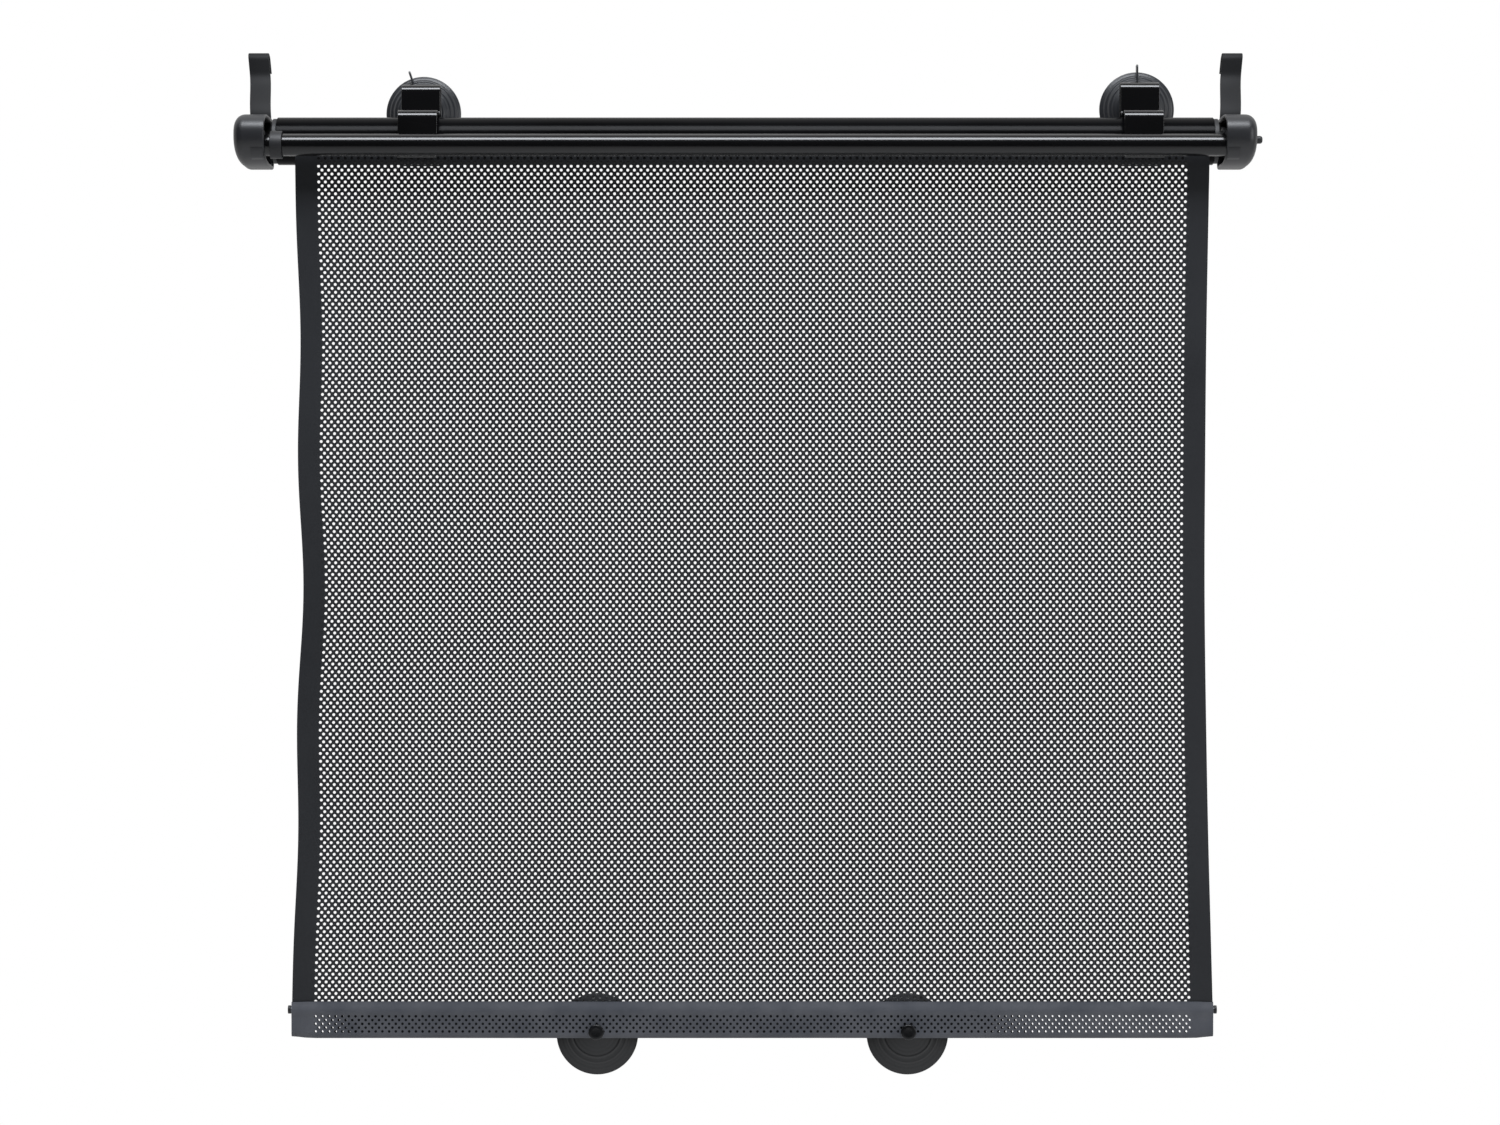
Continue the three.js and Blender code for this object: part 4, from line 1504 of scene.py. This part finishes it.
@dataclass
class Studio:
    """Camera, lamps, floor and the white surroundings."""

    view_width: float = 0.822
    distance: float = 2.1
    film_y: float = -0.027
    camera_x: float = 0.0025
    camera_z: float = -0.2308
    sensor: float = 36.0
    floor_z: float = -1.2
    floor_half: float = 3.0
    floor_grey: float = 0.8
    front_glow: float = 0.05
    back_glow: float = 1.0

    def camera(self) -> None:
        """Puts a level camera in front of the shade, as far off as the photograph's perspective says."""
        data = bpy.data.cameras.new("camera")
        data.sensor_width = self.sensor
        data.lens = self.sensor * self.distance / self.view_width
        made = bpy.data.objects.new("camera", data)
        made.location = (self.camera_x, self.film_y - self.distance, self.camera_z)
        made.rotation_euler = (math.pi / 2, 0, 0)
        bpy.context.scene.collection.objects.link(made)
        bpy.context.scene.camera = made

    def lamp(
        self, name: str, place: tuple[float, float, float], aim: tuple[float, float, float],
        size: tuple[float, float], power: float, colour: tuple[float, float, float],
    ) -> None:
        """Adds one rectangular soft lamp.

        Args:
            name: The lamp's name.
            place: Where it stands.
            aim: The point that it faces.
            size: Its width and height.
            power: Its power in watts.
            colour: Its colour.
        """
        data = bpy.data.lights.new(name, "AREA")
        data.shape = "RECTANGLE"
        data.size, data.size_y = size
        data.energy = power
        data.color = colour
        made = bpy.data.objects.new(name, data)
        made.location = place
        made.rotation_euler = (Vector(aim) - Vector(place)).to_track_quat("-Z", "Y").to_euler()
        bpy.context.scene.collection.objects.link(made)

    def lamps(self) -> None:
        """One large lamp high in front and a weak one at the right."""
        self.lamp(
            "overhead", place=(0, -0.78, 1.35), aim=(0, -0.05, -0.05), size=(1.7, 0.6), power=40.0,
            colour=(0.92, 0.95, 1.0),
        )
        self.lamp(
            "right_fill", place=(1.9, -1.2, 0.1), aim=(0, 0, -0.25), size=(0.4, 0.9), power=10.0,
            colour=(0.97, 0.98, 1.0),
        )

    def floor(self) -> None:
        """A pale floor far below, which lights the undersides."""
        corners = np.array([[-1, -1, 0], [1, -1, 0], [1, 1, 0], [-1, 1, 0]], float) * self.floor_half
        corners[:, 2] = self.floor_z
        made = make_mesh("floor", corners, np.array([[0, 1, 2, 3]]))
        paint = bpy.data.materials.new("pale_floor")
        paint.use_nodes = True
        shader = paint.node_tree.nodes["Principled BSDF"]
        shader.inputs["Base Color"].default_value = (*[self.floor_grey] * 3, 1)
        made.data.materials.append(paint)

    def surroundings(self) -> None:
        """White for the camera; for other rays, bright behind the shade and dark in front of it."""
        world = bpy.data.worlds.new("studio")
        bpy.context.scene.world = world
        world.use_nodes = True
        tree = world.node_tree
        tree.nodes.clear()
        output = tree.nodes.new("ShaderNodeOutputWorld")
        mix = tree.nodes.new("ShaderNodeMixShader")
        path = tree.nodes.new("ShaderNodeLightPath")
        seen = tree.nodes.new("ShaderNodeBackground")
        seen.inputs["Color"].default_value = (1, 1, 1, 1)
        around = tree.nodes.new("ShaderNodeBackground")
        place = tree.nodes.new("ShaderNodeTexCoord")
        axes = tree.nodes.new("ShaderNodeSeparateXYZ")
        ramp = tree.nodes.new("ShaderNodeMapRange")
        ramp.interpolation_type = "SMOOTHSTEP"
        ramp.inputs["From Min"].default_value = -0.15
        ramp.inputs["From Max"].default_value = 0.25
        ramp.inputs["To Min"].default_value = self.front_glow
        ramp.inputs["To Max"].default_value = self.back_glow
        tree.links.new(place.outputs["Generated"], axes.inputs["Vector"])
        tree.links.new(axes.outputs["Y"], ramp.inputs["Value"])
        tree.links.new(ramp.outputs["Result"], around.inputs["Strength"])
        tree.links.new(path.outputs["Is Camera Ray"], mix.inputs["Fac"])
        tree.links.new(around.outputs["Background"], mix.inputs[1])
        tree.links.new(seen.outputs["Background"], mix.inputs[2])
        tree.links.new(mix.outputs["Shader"], output.inputs["Surface"])

    def build(self) -> None:
        """Sets up the whole studio."""
        self.camera()
        self.lamps()
        self.floor()
        self.surroundings()
        bpy.context.scene.view_settings.view_transform = "Standard"


def build_cups() -> None:
    """Makes the four cups, each against the plate that its neck passes through."""
    for side, clip, body in (
        ("left", "left_rail_clip", Body.UPPER_LEFT_CUP),
        ("right", "right_rail_clip", Body.UPPER_RIGHT_CUP),
    ):
        leg = Span.of(clip).high.y
        SuctionCup(
            f"upper_{side}_cup", body, UPPER_CUP_FINISH, leg + 0.3 * MM, leg - 1.2 * MM,
            tab_angle=-18.5 if side == "left" else 0.0,
        ).build()
    hem = Span.of("hem_rod").middle.y
    for side, body in (("left", Body.LOWER_LEFT_CUP), ("right", Body.LOWER_RIGHT_CUP)):
        SuctionCup(
            f"lower_{side}_cup", body, LOWER_CUP_FINISH, hem + 1.2 * MM, hem - 0.9 * MM, sag=3.0 * MM,
            ring_depth=0.05 * MM,
        ).build()


def build_small_pieces() -> None:
    """Dresses the pieces whose CAD shape is already right, the button's spring among them."""
    plain = [
        ("idle_plug", PLUG_FINISH, Slot.PLUG, Body.ROLLER),
        ("ratchet_plug", PLUG_FINISH, Slot.PLUG, Body.ROLLER),
        ("spring_anchor", PLUG_FINISH, Slot.PLUG, Body.ROLLER),
        ("idle_axle", STEEL_FINISH, Slot.STEEL, Body.FRAME),
        ("spring_mandrel", STEEL_FINISH, Slot.STEEL, Body.FRAME),
        ("roller_spring", STEEL_FINISH, Slot.STEEL, Body.FRAME),
        ("release_button", BUTTON_FINISH, Slot.BUTTON, Body.BUTTON),
        ("lock_pawl", STEEL_FINISH, Slot.STEEL, Body.BUTTON),
        ("left_rod_tip", PLUG_FINISH, Slot.PLUG, Body.HEM),
        ("right_rod_tip", PLUG_FINISH, Slot.PLUG, Body.HEM),
    ]
    for node, finish, slot, body in plain:
        SmoothedNode(node, finish, slot, body).build()
    spring = SmoothedNode("button_spring", STEEL_FINISH, Slot.STEEL, Body.FRAME)
    span = Span.of(spring.node)
    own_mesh(spring.build())


def main() -> None:
    """Builds the studio and every piece."""
    logging.basicConfig(level=logging.INFO, format="%(message)s")
    make_grain_group()
    make_handling_group()
    make_tone_group()
    Studio().build()
    TopBar().build()
    for side, node in ((-1, "left_end_cap"), (1, "right_end_cap")):
        EndCap(node, side).build()
    for side, node in ((-1, "left_hanging_hook"), (1, "right_hanging_hook")):
        HangingHook(node, side).build()
    RailClip("left_rail_clip", Body.LEFT_CLIP).build()
    RailClip("right_rail_clip", Body.RIGHT_CLIP).build()
    build_cups()
    build_small_pieces()
    HemPocket().build()
    ShadeFilm().build()


if __name__ == "__main__":
    main()
